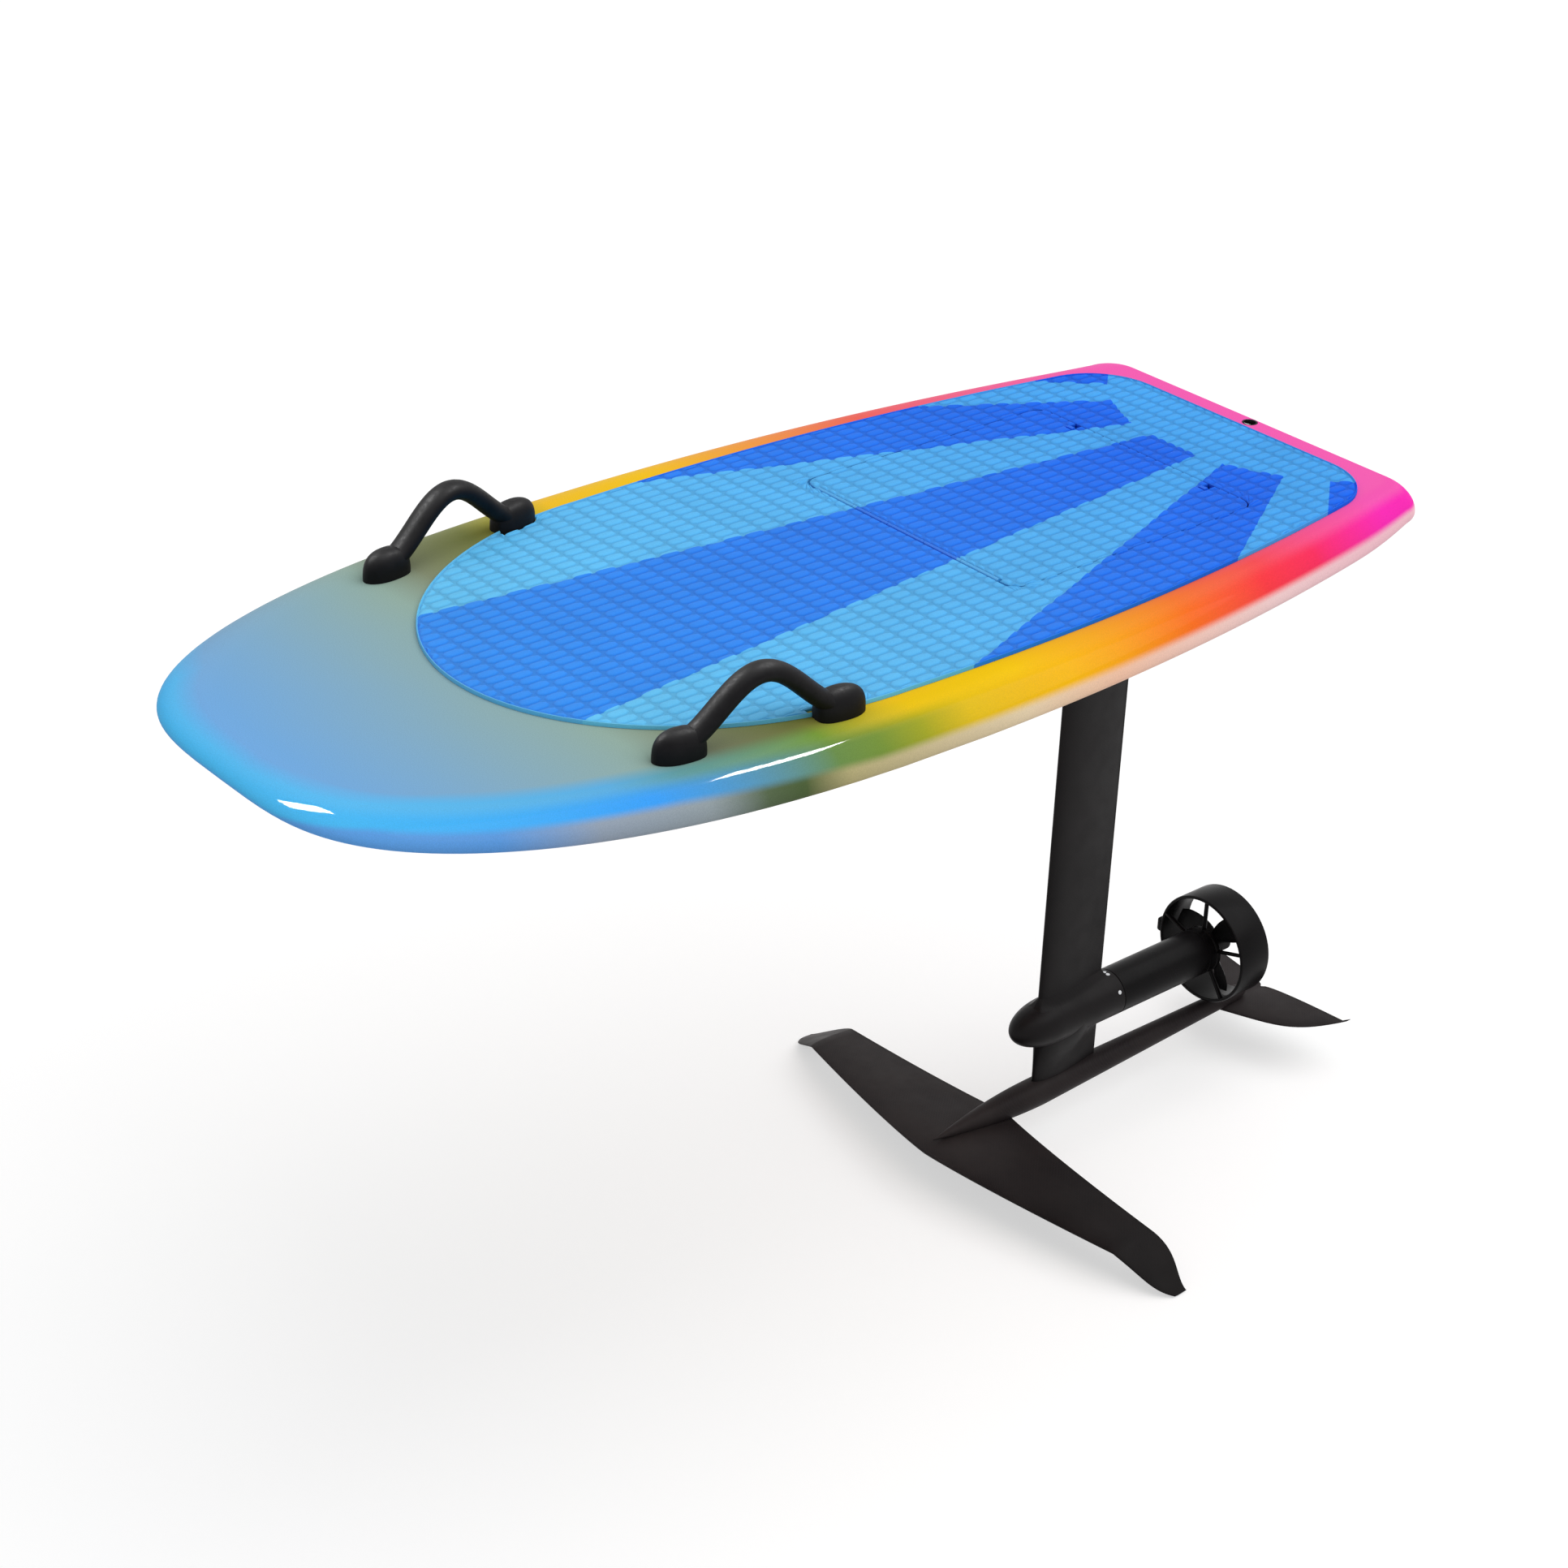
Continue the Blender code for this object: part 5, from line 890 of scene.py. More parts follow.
def make_hull(paint, inner):
    """The hull, with its bay, hatch seat, hinge recess, bolt pockets and leash well."""
    outline = board_outline()
    section = rail_section()
    rings = [board_ring(inset, depth, outline) for inset, depth, _ in section]
    count = len(rings[0])
    faces = [tuple(range(count))] + strips(len(rings), count)
    bottom = (len(rings) - 1) * count
    for step in range(count // 2):
        strip = [step, step + 1, count - step - 1, (count - step) % count]
        faces.append(tuple(bottom + corner for corner in dict.fromkeys(strip)))
    hull = made_object("hull", rings, faces, paint)
    mark = hull.data.attributes.new("section", "FLOAT", "POINT")
    mark.data.foreach_set("value", [band for _, _, band in section for _ in range(count)])
    above = DECK_Z * 2
    seat = rounded_rectangle(HATCH_HALF_WIDTH, HATCH_FRONT_Y, HATCH_REAR_Y, HATCH_CORNER)
    tools = [prism("seat", seat, LEDGE_Z, above, inner)]
    bay_half = HATCH_HALF_WIDTH - LEDGE_WIDTH
    bay = rounded_rectangle(bay_half, HATCH_FRONT_Y + LEDGE_WIDTH, HATCH_REAR_Y - LEDGE_WIDTH, BAY_CORNER)
    tools.append(prism("bay", bay, BAY_FLOOR, DECK_Z, inner))
    low = (-HINGE_HALF_LENGTH, HATCH_FRONT_Y - HINGE_REACH, HINGE_FLOOR)
    high = (HINGE_HALF_LENGTH, HATCH_FRONT_Y + HATCH_SEAM, above)
    tools.append(block("recess", low, high, inner))
    for x in (BOLT_SIDE, -BOLT_SIDE):
        low = (x - BOLT_HALF_WIDTH, HATCH_REAR_Y - HATCH_SEAM, BOLT_POCKET_LOW)
        high = (x + BOLT_HALF_WIDTH, HATCH_REAR_Y + BOLT_TRAVEL, BOLT_POCKET_HIGH)
        tools.append(block("pocket", low, high, inner))
    well = drum("well", LEASH_WELL_RADIUS, DECK_Z - LEASH_WELL_DEPTH, above, inner)
    tools.append(moved(well, (0.0, LEASH_Y, 0.0)))
    for tool in tools:
        cut(hull, tool)
    stands_for(hull, "board", "hull", "board_hull")


def pad_half_width(y):
    """Half-width of the deck pad, whose margin to the rail narrows towards the tail."""
    shoulder = PAD_FRONT_Y + PAD_NOSE_LENGTH
    share = max(0.0, (y - shoulder) / (PAD_REAR_Y - shoulder))
    return half_width(y) - PAD_SIDE_MARGIN + PAD_MARGIN_TAPER * share


def pad_outline(inset=0.0):
    """The deck pad's outline, this far in from its edge."""
    nose_steps, side_steps, corner_steps = 30, 24, 14
    front, rear = PAD_FRONT_Y + inset, PAD_REAR_Y - inset
    shoulder, corner = PAD_FRONT_Y + PAD_NOSE_LENGTH, PAD_CORNER - inset
    side = []
    for share in shares(nose_steps, 1):
        angle = QUARTER * share
        x = (pad_half_width(shoulder) - inset) * math.sin(angle)
        side.append((x, shoulder - (shoulder - front) * math.cos(angle)))
    corner_y = rear - corner
    lean = math.atan((pad_half_width(corner_y) - pad_half_width(PAD_REAR_Y)) / PAD_CORNER)
    corner_start = corner_y + corner * math.sin(lean)
    for share in shares(side_steps, 1):
        y = part_way(shoulder, corner_start, share)
        side.append((pad_half_width(y) - inset, y))
    corner_x = pad_half_width(corner_start) - inset - corner * math.cos(lean)
    side += arc(corner_x, corner_y, corner, lean, QUARTER, corner_steps, 1)
    return [(0.0, front)] + side + [(-x, y) for x, y in reversed(side)]


def area(polygon):
    return sum(a[0] * b[1] - b[0] * a[1] for a, b in edges(polygon)) / 2


def convex(points):
    """The convex outline round points, left about."""
    def chain(run):
        kept = []
        for point in run:
            while len(kept) > 1 and area([kept[-2], kept[-1], point]) <= 0.0:
                kept.pop()
            kept.append(point)
        return kept[:-1]

    ordered = sorted(set(points))
    return chain(ordered) + chain(ordered[::-1])


def clipped(polygon, first, second):
    """The part of a convex polygon on the left of a line, and the part on its right."""
    run, rise = second[0] - first[0], second[1] - first[1]

    def height(point):
        return run * (point[1] - first[1]) - rise * (point[0] - first[0])

    left, right = [], []
    for point, after in edges(polygon):
        here, there = height(point), height(after)
        if here >= 0.0:
            left.append(point)
        if here <= 0.0:
            right.append(point)
        if here * there < 0.0:
            meeting = tuple(part_way(a, b, here / (here - there)) for a, b in zip(point, after))
            left.append(meeting)
            right.append(meeting)
    return left, right


def within(polygon, outline):
    """A polygon cut to a convex outline given left about, and the pieces that are cut off."""
    cast = []
    for first, second in edges(outline):
        if len(polygon) < 3:
            return [], cast
        polygon, piece = clipped(polygon, first, second)
        if len(piece) >= 3:
            cast.append(piece)
    return polygon, cast


def left_over(polygon, taken):
    """The pieces of a polygon outside all the convex outlines taken out of it."""
    pieces = [polygon]
    for outline in taken:
        kept = []
        for piece in pieces:
            inner, cast = within(piece, outline)
            kept += cast if len(inner) >= 3 else [piece]
        pieces = [piece for piece in kept if len(piece) >= 3]
    return pieces


def drawn_in(polygon, by):
    """A convex polygon with its edges moved in."""
    middle = Vector([sum(point[axis] for point in polygon) / len(polygon) for axis in (0, 1)])
    moved_in = []
    for point in polygon:
        inwards = middle - Vector(point)
        reach = min(by * BRICK_CORNER_REACH, inwards.length * BRICK_MOST_REACH)
        moved_in.append(tuple(Vector(point) + inwards.normalized() * reach))
    return moved_in


def grid_cells():
    """The pad's bricks before any is cut: rows across the board, every other one shifted."""
    left_start, front_start = BRICK_START
    rows = int((PAD_REAR_Y - front_start) / BRICK_LENGTH) + 2
    bricks_in_row = int(BOARD_WIDTH / BRICK_WIDTH) + 2
    gap = GROOVE_WIDTH / 2
    aside, ahead = BRICK_CORNER
    for row in range(rows):
        front = front_start + row * BRICK_LENGTH + gap
        rear = front + BRICK_LENGTH - 2 * gap
        shift = BRICK_WIDTH / 2 if row % 2 else 0.0
        for brick in range(bricks_in_row):
            left = left_start + brick * BRICK_WIDTH + shift + gap
            right = left + BRICK_WIDTH - 2 * gap
            yield [
                (left + aside, front), (right - aside, front), (right, front + ahead), (right, rear - ahead),
                (right - aside, rear), (left + aside, rear), (left, rear - ahead), (left, front + ahead),
            ]


def bricks(name, polygons, look):
    """Bricks of foam with rounded tops, as one mesh."""
    points, faces = [], []
    for polygon in polygons:
        if len(polygon) < 3 or abs(area(polygon)) <= SMALLEST_BRICK:
            continue
        count, start = len(polygon), len(points)
        for share, drop in BRICK_LEVELS:
            ring = drawn_in(polygon, share * BRICK_ROUND) if share else polygon
            points += at_height(ring, PAD_TOP_Z - drop * BRICK_CROWN)
        for face in strips(len(BRICK_LEVELS), count):
            faces.append(tuple(start + corner for corner in face))
        faces.append(tuple(range(len(points) - count, len(points))))
    mesh = bpy.data.meshes.new(name)
    mesh.from_pydata(points, [], faces)
    mesh.shade_smooth()
    mesh.materials.append(look)
    return shown(name, mesh)


def rim(name, outer, inner, look):
    """The pad's smooth border, rounded on its outer edge."""
    def across(share):
        pairs = zip(outer, inner)
        return [tuple(part_way(a, b, share) for a, b in zip(one, two)) for one, two in pairs]

    levels = (
        (outer, PAD_LOW_Z), (outer, SHEET_TOP_Z), (across(RIM_SHOULDER), PAD_TOP_Z - RIM_SHOULDER_DROP),
        (across(0.5), PAD_TOP_Z), (inner, SHEET_TOP_Z), (inner, PAD_LOW_Z),
    )
    rings = [at_height(outline, z) for outline, z in levels]
    return made_object(name, rings, strips(len(rings), len(outer)), look)


def gathered(name, things):
    """Several meshes as one piece, each with its own finish."""
    target = things[0]
    finishes = list(target.data.materials)
    shape = bmesh.new()
    shape.from_mesh(target.data)
    for thing in things[1:]:
        held = len(shape.faces)
        shape.from_mesh(thing.data)
        finish = thing.data.materials[0]
        if finish not in finishes:
            finishes.append(finish)
            target.data.materials.append(finish)
        shape.faces.ensure_lookup_table()
        for face in shape.faces[held:]:
            face.material_index = finishes.index(finish)
    shape.to_mesh(target.data)
    shape.free()
    for thing in things[1:]:
        bpy.data.objects.remove(thing, do_unlink=True)
    target.name = name
    return target


def foot_plan(place, outwards):
    """The room that a handle's foot takes out of the pad, left about."""
    steps = 12
    half_length, half_wide = FOOT_LENGTH / 2 + FOOT_NOTCH_GAP, FOOT_WIDTH / 2 + FOOT_NOTCH_GAP
    across = Vector((-outwards.y, outwards.x, 0.0))
    spots = []
    for share in shares(steps):
        angle = math.pi * (share - 0.5)
        spots.append(outwards * (half_length * math.cos(angle)) + across * (half_wide * math.sin(angle)))
    spots += [across * (sign * half_wide) - outwards * half_length for sign in (1.0, -1.0)]
    return [(place.x + spot.x, place.y + spot.y) for spot in spots]


def make_pad(node, body, edge, sheet_outline, taken, look, border=()):
    """A pad of bricks on a sheet, without the rooms that are taken out of it."""
    sheet = prism("sheet", sheet_outline, PAD_LOW_Z, SHEET_TOP_Z, look)
    for room in taken:
        cut(sheet, prism("room", room, PAD_LOW_Z - DECK_Z, DECK_Z * 2, look))
    kept = [piece for cell in grid_cells() for piece in left_over(within(cell, edge)[0], taken)]
    pad = gathered(node + "_foam", [bricks(node + "_bricks", kept, look), sheet, *border])
    stands_for(pad, body, "pad", node)


def make_pads(look, rim_look):
    """The deck pad and the hatch's piece of it."""
    corner_steps = 5
    edge = convex(pad_outline(PAD_RIM + GROOVE_WIDTH / 2))
    hole_front = HATCH_FRONT_Y - HINGE_PAD_EDGE
    taken = [rounded_rectangle(HATCH_HALF_WIDTH, hole_front, HATCH_REAR_Y, HATCH_CORNER, corner_steps)]
    taken += [foot_plan(place, outwards) for _, _, place, outwards in handle_feet()]
    border = rim("border", pad_outline(), pad_outline(PAD_RIM), rim_look)
    make_pad("deck_pad", "board", edge, pad_outline(PAD_RIM / 2), taken, look, [border])
    half, rear = HATCH_HALF_WIDTH - HATCH_SEAM, HATCH_REAR_Y - HATCH_SEAM
    lid = rounded_rectangle(half, HATCH_FRONT_Y - HINGE_END_REACH, rear, HATCH_CORNER, corner_steps)
    side, hinge_front = HINGE_HALF_LENGTH + HATCH_SEAM, HATCH_FRONT_Y - HINGE_REACH
    rooms = [rectangle(-side, side, hinge_front, HATCH_FRONT_Y + HINGE_PAD_EDGE)]
    for x in (BOLT_SIDE, -BOLT_SIDE):
        rooms.append(rectangle(x - THUMB_HALF_WIDTH, x + THUMB_HALF_WIDTH, THUMB_FRONT_Y, HATCH_REAR_Y))
    make_pad("hatch_pad", "hatch", lid, lid, rooms, look)


def handle_feet():
    """Each handle's two feet: side, end, place on the deck, and the way its far end points."""
    feet = []
    for side, sign in (("left", 1.0), ("right", -1.0)):
        places = []
        for away, margin in ((0.0, HANDLE_FRONT_MARGIN), (HANDLE_SPACING, HANDLE_REAR_MARGIN)):
            y = HANDLE_FRONT_Y + away
            flat_edge = half_width(y) * (1.0 - 2 * RAIL_ROUND_WIDTH / BOARD_WIDTH)
            x = flat_edge - margin - FOOT_WIDTH / 2
            places.append(Vector((sign * x, y, PAD_LOW_Z)))
        along = (places[1] - places[0]).normalized()
        feet.append((side, "front", places[0], -along))
        feet.append((side, "rear", places[1], along))
    return feet


def make_grip(name, front, rear, look):
    """The rubber grip along its arch, its ends inside the feet."""
    steps, sides = 56, 28
    low = GRIP_THICKNESS / 2 + GRIP_DECK_GAP
    path = []
    for share in shares(steps):
        height = part_way(low, HANDLE_RISE, max(0.0, math.sin(math.pi * share)) ** HANDLE_ARCH_POWER)
        path.append(front.lerp(rear, share) + Vector((0.0, 0.0, height)))
    across = (rear - front).cross(Vector((0.0, 0.0, 1.0))).normalized()
    rings = []
    for index, point in enumerate(path):
        along = (path[min(index + 1, steps)] - path[max(index - 1, 0)]).normalized()
        wide, high = across * (GRIP_WIDTH / 2), across.cross(along) * (GRIP_THICKNESS / 2)
        rings.append(ellipse(point, wide, high, sides))
    return loft(name, rings, look)


def make_foot(name, place, outwards, look):
    """A foot: a smooth domed lobe, round at its far end."""
    sides, levels = 44, 18
    dome, spread = FOOT_DOME_POWERS
    across = Vector((-outwards.y, outwards.x, 0.0))
    rings = []
    for level in shares(levels):
        height = math.sin(QUARTER * level)
        scale = (1.0 - min(height, FOOT_TOP_SHARE) ** dome) ** (1.0 / spread)
        ring = []
        for cosine, sine in around(sides):
            power = 2.0 / (FOOT_FAR_SQUARENESS if cosine > 0.0 else FOOT_NEAR_SQUARENESS)
            far = math.copysign(abs(cosine) ** power, cosine) * scale * FOOT_LENGTH / 2
            aside = math.copysign(abs(sine) ** power, sine) * scale * FOOT_WIDTH / 2
            spot = place + outwards * far + across * aside
            ring.append((spot.x, spot.y, place.z + FOOT_HEIGHT * height))
        rings.append(ring)
    return loft(name, rings, look)


def make_handles(look):
    feet = handle_feet()
    for side in ("left", "right"):
        front, rear = [place for whose, _, place, _ in feet if whose == side]
        grip = make_grip("grip_" + side, front, rear, look)
        stands_for(grip, "board", "rubber", "handle_grip_" + side)
    for side, end, place, outwards in feet:
        foot = make_foot("foot_" + side + "_" + end, place, outwards, look)
        stands_for(foot, "board", "rubber", "handle_foot_" + side + "_" + end)


def foil_loop(chord, thickness, grown=0.0):
    """A symmetric foil section as points behind its leading edge and off its chord line."""
    upper = []
    for step in range(FOIL_POINTS + 1):
        share = 0.5 - 0.5 * math.cos(math.pi * step / FOIL_POINTS)
        terms = [math.sqrt(share), share, share ** 2, share ** 3, share ** 4]
        half = 5 * thickness * sum(factor * term for factor, term in zip(FOIL_SERIES, terms))
        along = share * (chord + 2 * grown) - grown
        upper.append((along, max(half, FOIL_EDGE / 2) + grown if step else 0.0))
    lower = [(along, -half) for along, half in reversed(upper[1:])]
    return upper + lower


def mast_side(grown=0.0):
    """One side of the mast's section, from its front edge to its rear edge."""
    return foil_loop(MAST_CHORD, MAST_THICKNESS, grown)[:FOIL_POINTS + 1]


def pod_radius(y):
    """The pod's radius, round at its nose."""
    from_nose = min(1.0, max(0.0, (y - POD_NOSE_Y) / POD_NOSE_LENGTH))
    return POD_RADIUS * math.sqrt(1.0 - (1.0 - from_nose) ** 2)


def make_fairing(sign, look):
    """The fillet over the pod on one side of the mast, and the skirt under it down to the fuselage."""
    steps = 14
    fillet, skirt = [], []
    for share in shares(steps):
        row = []
        for along, half in mast_side(FAIRING * share):
            y, x = MAST_LEAD_Y + along, max(half, POD_SEAM)
            height = math.sqrt(max(0.0, pod_radius(y) ** 2 - x ** 2))
            row.append((sign * x, y, POD_Z + height + FAIRING * (1.0 - share) ** 2 - POD_SEAM))
        fillet.append(row)
        row = []
        for along, half in mast_side():
            y, back = MAST_LEAD_Y + along, along / MAST_CHORD
            swell = min(1.0, back / SKIRT_SWELL_SHARE) ** SKIRT_SWELL_POWER
            swell *= min(1.0, max(0.0, 1.0 - back) / SKIRT_SWELL_SHARE)
            drawn = 0.5 + 0.5 * math.cos(math.pi * share)
            x = part_way(half, pod_radius(y), drawn * swell)
            row.append((sign * max(x, POD_SEAM), y, POD_Z - SKIRT_DROP * share))
        skirt.append(row)
    faces = strips(steps + 1, FOIL_POINTS + 1, closed=False)
    return [made_object("fillet", fillet, faces, look), made_object("skirt", skirt, faces, look)]


def make_pod(look):
    """The pod's two halves, with their fairings on the mast."""
    nose_steps = 24
    profile = [(0.0, POD_NOSE_Y)]
    for share in shares(nose_steps, 1):
        angle = QUARTER * share
        y = POD_NOSE_Y + POD_NOSE_LENGTH * (1.0 - math.cos(angle))
        profile.append((POD_RADIUS * math.sin(angle), y))
    tail = POD_TAIL_Y
    profile += [(POD_RADIUS, tail - POD_EDGE), (POD_RADIUS - POD_EDGE, tail), (0.0, tail)]
    clear = POD_RADIUS * 2
    for side, sign in (("left", 1.0), ("right", -1.0)):
        half = turned("pod_shell_" + side, profile, FINE_SIDES, look)
        ends = sorted((-sign * clear, sign * POD_SEAM / 2))
        low = (ends[0], POD_NOSE_Y - clear, POD_Z - clear)
        cut(half, block("other", low, (ends[1], tail + clear, POD_Z + clear), look))
        for angle in POD_SCREW_ANGLES:
            turn = math.radians(angle if sign > 0 else 180.0 - angle)
            outwards = Vector((math.cos(turn), 0.0, math.sin(turn)))
            well = drum("well", POD_SCREW_ROOM, POD_SCREW_SEAT, clear, look, WELL_SIDES)
            place = Vector((0.0, POD_SCREW_Y, POD_Z))
            cut(half, moved(well, place, outwards.to_track_quat("Z", "Y").to_euler()))
        piece = gathered("pod_shell_" + side, [half, *make_fairing(sign, look)])
        stands_for(piece, "board", "composite", "pod_half_" + side)


def make_mast(look):
    outline = [(half, MAST_LEAD_Y + along) for along, half in foil_loop(MAST_CHORD, MAST_THICKNESS)]
    rings = [at_height(outline, z) for z in (MAST_FOOT_Z, MAST_TOP_Z - MAST_EDGE, MAST_TOP_Z)]
    stands_for(loft("mast_blade", rings, look), "board", "composite", "mast")


def make_housing(look):
    """The motor tube, with a joint groove near its rear end."""
    edge, groove = POD_EDGE, HOUSING_GROOVE
    front, rear = HOUSING_FRONT_Y, HOUSING_REAR_Y
    ring_front, ring_rear = [rear - away for away in HOUSING_GROOVE_ENDS]
    profile = [
        (0.0, front), (POD_RADIUS - edge, front), (POD_RADIUS, front + edge),
        (POD_RADIUS, ring_front), (POD_RADIUS - groove, ring_front + groove / 2),
        (POD_RADIUS - groove, ring_rear - groove / 2), (POD_RADIUS, ring_rear),
        (POD_RADIUS, rear - edge), (POD_RADIUS - edge, rear), (HOUSING_BORE, rear),
        (HOUSING_BORE, rear - PLUG_LENGTH), (0.0, rear - PLUG_LENGTH),
    ]
    housing = turned("motor_tube", profile, FINE_SIDES, look)
    stands_for(housing, "board", "composite", "motor_housing")


def collar(name, bore, radius, front, rear, edge, sides, look):
    """A bored cylinder with bevelled edges."""
    profile = [
        (bore, front), (radius - edge, front), (radius, front + edge),
        (radius, rear - edge), (radius - edge, rear), (bore, rear),
    ]
    return turned(name, profile, sides, look, hollow=True)


def make_guard(look):
    """The guard ring with rounded lips, its vanes and the plug in the motor tube."""
    lip_steps, vane_sides, lug_facets = 8, 16, 3
    lip, edge = GUARD_WALL / 2, GUARD_EDGE
    inner, outer, front = POD_RADIUS - edge * 2, GUARD_RADIUS - lip, GUARD_FRONT_Y
    profile = arc(outer, front + lip, lip, 0.0, -math.pi, lip_steps)
    profile += arc(outer, front + GUARD_LENGTH - lip, lip, -math.pi, -math.tau, lip_steps)
    ring = turned("guard_ring", profile, FINE_SIDES, look, hollow=True)
    plug = collar("plug", PLUG_BORE, POD_RADIUS, front, front + STRUT_LENGTH, edge, FINE_SIDES, look)
    things = [ring, plug]
    along = Vector((0.0, STRUT_LENGTH / 2, 0.0))
    for index in range(GUARD_STRUTS):
        turn = QUARTER + math.tau * index / GUARD_STRUTS
        outwards = Vector((math.cos(turn), 0.0, math.sin(turn)))
        aside = Vector((-math.sin(turn), 0.0, math.cos(turn))) * (STRUT_THICKNESS / 2)
        middles = [outwards * reach + Vector((0.0, front + along.y, POD_Z)) for reach in (inner, outer)]
        things.append(loft("vane", [ellipse(middle, along, aside, vane_sides) for middle in middles], look))
    lug_low = (-GUARD_RADIUS - LUG_WIDTH, front + edge, POD_Z - LUG_HEIGHT / 2)
    lug = block("lug", lug_low, (-outer, front + LUG_LENGTH, POD_Z + LUG_HEIGHT / 2), look)
    round_edges = lug.modifiers.new("edges", "BEVEL")
    round_edges.width = LUG_ROUND
    round_edges.segments = lug_facets
    applied(lug)
    guard = gathered("guard_shroud", things + [lug])
    smooth(guard.data)
    stands_for(guard, "board", "composite", "propeller_guard")


def make_propeller(look):
    """Hub and twisted blades."""
    steps, sides = 22, 20
    rear = HUB_FRONT_Y + HUB_LENGTH
    things = [collar("hub", HUB_BORE, HUB_RADIUS, HUB_FRONT_Y, rear, HUB_EDGE, ROUND_SIDES, look)]
    middle = Vector((0.0, HUB_FRONT_Y + HUB_LENGTH / 2, POD_Z))
    for index in range(BLADES):
        turn = Matrix.Rotation(math.radians(BLADE_START_ANGLE) + math.tau * index / BLADES, 3, "Y")
        rings = []
        for share in shares(steps):
            radius = part_way(HUB_RADIUS - BLADE_ROOT_DEPTH, BLADE_TIP, share)
            chord = BLADE_ROOT_CHORD + BLADE_CHORD_SWELL * math.sin(math.pi * share)
            tip = max(0.0, (share - BLADE_TIP_START) / (1.0 - BLADE_TIP_START))
            chord = part_way(chord, BLADE_TIP_CHORD, tip ** 2)
            thick = part_way(BLADE_THICKNESS, BLADE_TIP_THICKNESS, share)
            pitch = math.atan2(BLADE_PITCH, math.tau * radius)
            wide = turn @ Vector((math.cos(pitch), math.sin(pitch), 0.0)) * (chord / 2)
            high = turn @ Vector((-math.sin(pitch), math.cos(pitch), 0.0)) * (thick / 2)
            rings.append(ellipse(middle + turn @ Vector((0.0, 0.0, radius)), wide, high, sides))
        things.append(loft("blade", rings, look))
    propeller = gathered("propeller_blades", things)
    smooth(propeller.data)
    stands_for(propeller, "propeller", "plastic", "propeller")


def fuselage_taper(y):
    """Share of the fuselage's taper done at a station, from the end of its nose to its tail."""
    start = FUSELAGE_NOSE_Y + FUSELAGE_NOSE_LENGTH
    return max(0.0, (y - start) / (FUSELAGE_TAIL_Y - start))


def fuselage_radius(y):
    """The fuselage's radius: a pointed nose, then a long taper to the tail."""
    from_nose = (y - FUSELAGE_NOSE_Y) / FUSELAGE_NOSE_LENGTH
    if from_nose < 1.0:
        return FUSELAGE_RADIUS * (1.0 - (1.0 - from_nose) ** 2)
    radius = part_way(FUSELAGE_RADIUS, FUSELAGE_TAIL_RADIUS, fuselage_taper(y))
    from_tail = (FUSELAGE_TAIL_Y - y) / FUSELAGE_TAIL_ROUND
    if from_tail < 1.0:
        radius *= math.sqrt(1.0 - (1.0 - from_tail) ** 2)
    return radius


def wing_stations():
    """The front wing from its root to a tip: span, height, leading edge, chord and thickness."""
    steps, tip_steps = 26, 18
    stations = []
    for share in shares(steps):
        chord = part_way(WING_ROOT_CHORD, WING_CREASE_CHORD, share)
        lead = WING_LEAD_Y + WING_CREASE_SWEEP * share ** WING_SWEEP_POWER
        z = WING_Z - WING_ANHEDRAL * share ** WING_ANHEDRAL_POWER
        thickness = part_way(WING_ROOT_THICKNESS, WING_CREASE_THICKNESS, share)
        stations.append((WING_CREASE_X * share, z, lead, chord, thickness))
    bend = math.radians(WING_TIP_ANGLE)
    crease_x, crease_z, crease_lead, crease_chord, _ = stations[-1]
    for step in shares(tip_steps, 1):
        share = math.sin(QUARTER * step)
        out = WING_TIP_LENGTH * share
        chord = part_way(crease_chord, WING_TIP_CHORD, share ** 2)
        set_back = WING_TIP_SET_BACK * (crease_chord - WING_TIP_SWEEP - chord) * share ** 3
        lead = crease_lead + WING_TIP_SWEEP * share + set_back
        x, z = crease_x + out * math.cos(bend), crease_z - out * math.sin(bend)
        stations.append((x, z, lead, chord, WING_CREASE_THICKNESS * chord / crease_chord))
    return stations


def stabiliser_stations():
    """The stabiliser from its root to a tip."""
    steps = 30
    tail_start = STABILISER_LEAD_Y + STABILISER_ROOT_CHORD
    stations = []
    for share in shares(steps):
        lead = STABILISER_LEAD_Y + STABILISER_SWEEP * share
        lead += STABILISER_TIP_SWEEP * share ** STABILISER_TIP_POWER
        tail = tail_start + STABILISER_TAIL_SWEEP * math.sqrt(share)
        chord = max(tail - lead, STABILISER_TIP_CHORD)
        thickness = STABILISER_THICKNESS * chord / STABILISER_ROOT_CHORD
        stations.append((STABILISER_HALF_SPAN * share, STABILISER_Z, lead, chord, thickness))
    return stations


def wing_solid(name, stations, look):
    """A wing lofted from tip to tip through its stations."""
    spread = [(-x, *rest) for x, *rest in reversed(stations[1:])] + stations
    rings = []
    for x, z, lead, chord, thickness in spread:
        rings.append([(x, lead + along, z + half) for along, half in foil_loop(chord, thickness)])
    return loft(name, rings, look)


def bolt_wells(piece, bolts, seat, look):
    """Open a piece from below over its bolts' heads."""
    for y, room in bolts:
        well = drum("well", room, seat - FUSELAGE_RADIUS * 2, seat, look, WELL_SIDES)
        cut(piece, moved(well, (0.0, y, 0.0)))


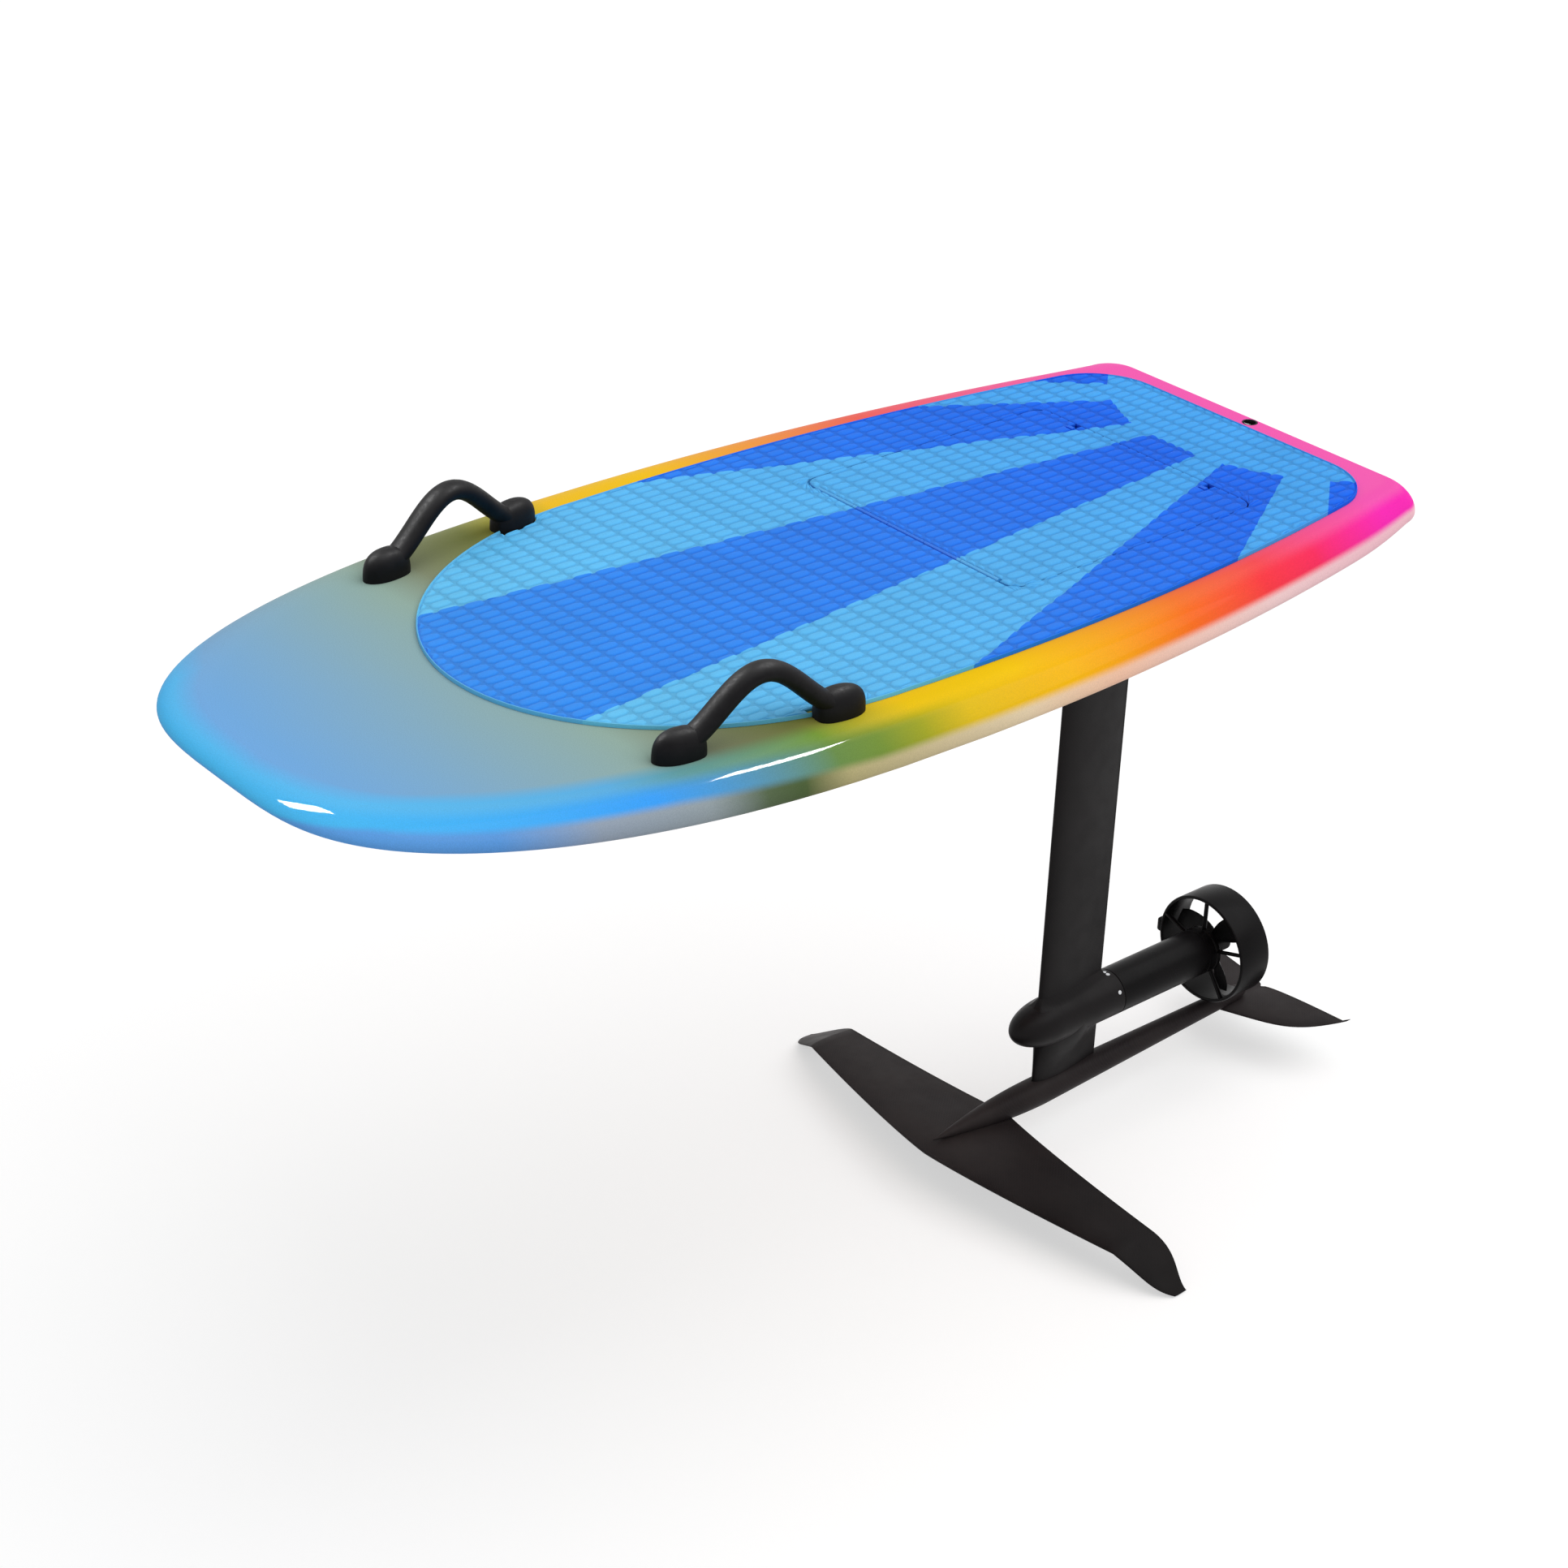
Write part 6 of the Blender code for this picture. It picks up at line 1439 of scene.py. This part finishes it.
def make_foil(look):
    """Fuselage, front wing and stabiliser."""
    nose_steps, tail_steps = 34, 12
    tail_start = FUSELAGE_TAIL_Y - FUSELAGE_TAIL_ROUND
    places = [FUSELAGE_NOSE_Y + FUSELAGE_NOSE_LENGTH * share for share in shares(nose_steps, 1)]
    for share in shares(tail_steps)[:-1]:
        places.append(tail_start + FUSELAGE_TAIL_ROUND * math.sin(QUARTER * share))
    profile = [(0.0, FUSELAGE_NOSE_Y)] + [(fuselage_radius(y), y) for y in places] + [(0.0, FUSELAGE_TAIL_Y)]
    fuselage = turned("fuselage_body", profile, ROUND_SIDES, look, FUSELAGE_Z)
    for vertex in fuselage.data.vertices:
        vertex.co.z += FUSELAGE_TAIL_LIFT * fuselage_taper(vertex.co.y)
    wing = wing_solid("wing_blade", wing_stations(), look)
    stabiliser = wing_solid("stabiliser_blade", stabiliser_stations(), look)
    bolt_wells(fuselage, FOOT_BOLTS, FUSELAGE_Z - FOOT_BOLT_SEAT, look)
    for piece in (fuselage, wing):
        bolt_wells(piece, WING_BOLTS, WING_Z, look)
    for piece in (fuselage, stabiliser):
        bolt_wells(piece, STABILISER_BOLTS, STABILISER_Z, look)
    stands_for(fuselage, "board", "composite", "fuselage")
    stands_for(wing, "board", "composite", "front_wing")
    stands_for(stabiliser, "board", "composite", "stabiliser")


def dress_solids(looks, coat):
    """Give each solid that still shows the finish of its slot, or the coat that hides it in the pad."""
    for entry in frame["record"]["subparts"]:
        solid = nodes[entry["node"]]
        solid.data.materials.clear()
        in_pad = entry["node"].startswith(("hinge_", "hatch_bolt_"))
        solid.data.materials.append(coat if in_pad else looks[entry["material_slot"]])


def make_streak(first, last, target):
    """A thin light that only glossy surfaces show, facing a target."""
    middle, along = (first + last) / 2, last - first
    away = (middle - target).normalized()
    up = away.cross(along).normalized()
    lamp = bpy.data.lights.new("streak", "AREA")
    lamp.shape = "RECTANGLE"
    lamp.size, lamp.size_y = along.length, STREAK_WIDTH
    lamp.energy = STREAK_POWER * along.length
    light = shown("streak", lamp)
    turn = Matrix((up.cross(away), up, away)).transposed().to_4x4()
    light.matrix_world = Matrix.Translation(middle) @ turn
    light.visible_diffuse = False


def make_stage():
    """A pale floor, soft light from above, and thin lights for the streaks on the rail."""
    shader = new_shader("floor")
    shader.set(Base_Color=FLOOR_GREY, Roughness=0.9, Specular_IOR_Level=0.0, Emission_Color=WHITE)
    shader.set(Emission_Strength=shader.between(shader.seen(), 0.0, 1.0, *FLOOR_GLOWS))
    plan = rectangle(-FLOOR_REACH, FLOOR_REACH, -FLOOR_REACH, FLOOR_REACH)
    corners = at_height(plan, cad_box[0].z - FLOOR_GAP)
    made_object("floor", [corners], [(0, 1, 2, 3)], shader.owner)
    sky = Shader(bpy.data.worlds.new("studio"), "Background")
    sky.set(Color=WHITE, Strength=sky.between(sky.seen(), 0.0, 1.0, *SKY_LEVELS))
    bpy.context.scene.world = sky.owner
    lamp = bpy.data.lights.new("soft_sun", "SUN")
    lamp.energy = SUN_POWER
    lamp.angle = math.radians(SUN_SPREAD)
    sun = shown("soft_sun", lamp)
    sun.rotation_euler = Vector(SUN_DIRECTION).to_track_quat("-Z", "Y").to_euler()
    for ends, target in RAIL_STREAKS:
        make_streak(*[Vector(end) for end in ends], Vector(target))


def make_camera():
    """The photograph's viewpoint."""
    view = Matrix.Translation(CAMERA_TARGET)
    for angle, axis in ((CAMERA_AZIMUTH, "Z"), (90.0 - CAMERA_ELEVATION, "X"), (CAMERA_ROLL, "Z")):
        view = view @ Matrix.Rotation(math.radians(angle), 4, axis)
    data = bpy.data.cameras.new("camera")
    data.sensor_width = CAMERA_SENSOR
    data.lens = CAMERA_LENS
    camera = shown("camera", data)
    camera.matrix_world = view @ Matrix.Translation(CAMERA_OFFSET)
    bpy.context.scene.camera = camera


looks = {
    "hull": hull_paint(),
    "lid": laminate(),
    "pad": foam(),
    "rubber": plain(
        "black_rubber", ("0D0C0E", "141315"), cloud=(70.0, 4.0), roughness=(240.0, 3.0, 0.44, 0.60),
        grain=(1300.0, 2.0, 0.0003, 0.25), Specular_IOR_Level=0.11,
    ),
    "plastic": plain(
        "black_plastic", ("0C0B0C", "131213"), cloud=(320.0, 3.0), roughness=(90.0, 2.0, 0.38, 0.52),
        grain=(1500.0, 1.0, 0.0002, 0.3), Specular_IOR_Level=0.12,
    ),
    "composite": composite("black_composite", ("0E0C0D", "131112", "171415"), shine=0.11, roughness=0.36),
    "steel": steel(),
    "metal": plain(
        "anodised_metal", ("242426", "323235"), cloud=(220.0, 4.0), roughness=(500.0, 2.0, 0.36, 0.50),
        grain=(1600.0, 1.0, 0.0001, 0.2), Metallic=0.7,
    ),
    "copper": copper(),
}
tube_look = composite("tube_composite", ("080708", "0B0A0B", "0E0C0D"), shine=0.07, roughness=0.26)
# The foil's tones are lighter and browner than the mast's: partly its own colour, partly a painted
# reflection of the wings' grazing sheen.
foil_tones_and_sheen = ("221E1F", "282324", "2E2929")
# The foil's near side, +X, is darkened to half as painted shade.
foil_look = composite("foil_composite", foil_tones_and_sheen, shine=0.07, roughness=0.42, painted_shade_level=0.5)
make_camera()
dress_solids(looks, coated())
make_hull(looks["hull"], looks["lid"])
make_pads(looks["pad"], rim_foam())
make_handles(looks["rubber"])
make_mast(looks["composite"])
make_pod(looks["composite"])
make_housing(tube_look)
make_guard(tube_look)
make_propeller(looks["plastic"])
make_foil(foil_look)
make_stage()
bpy.context.scene.view_settings.view_transform = "Standard"
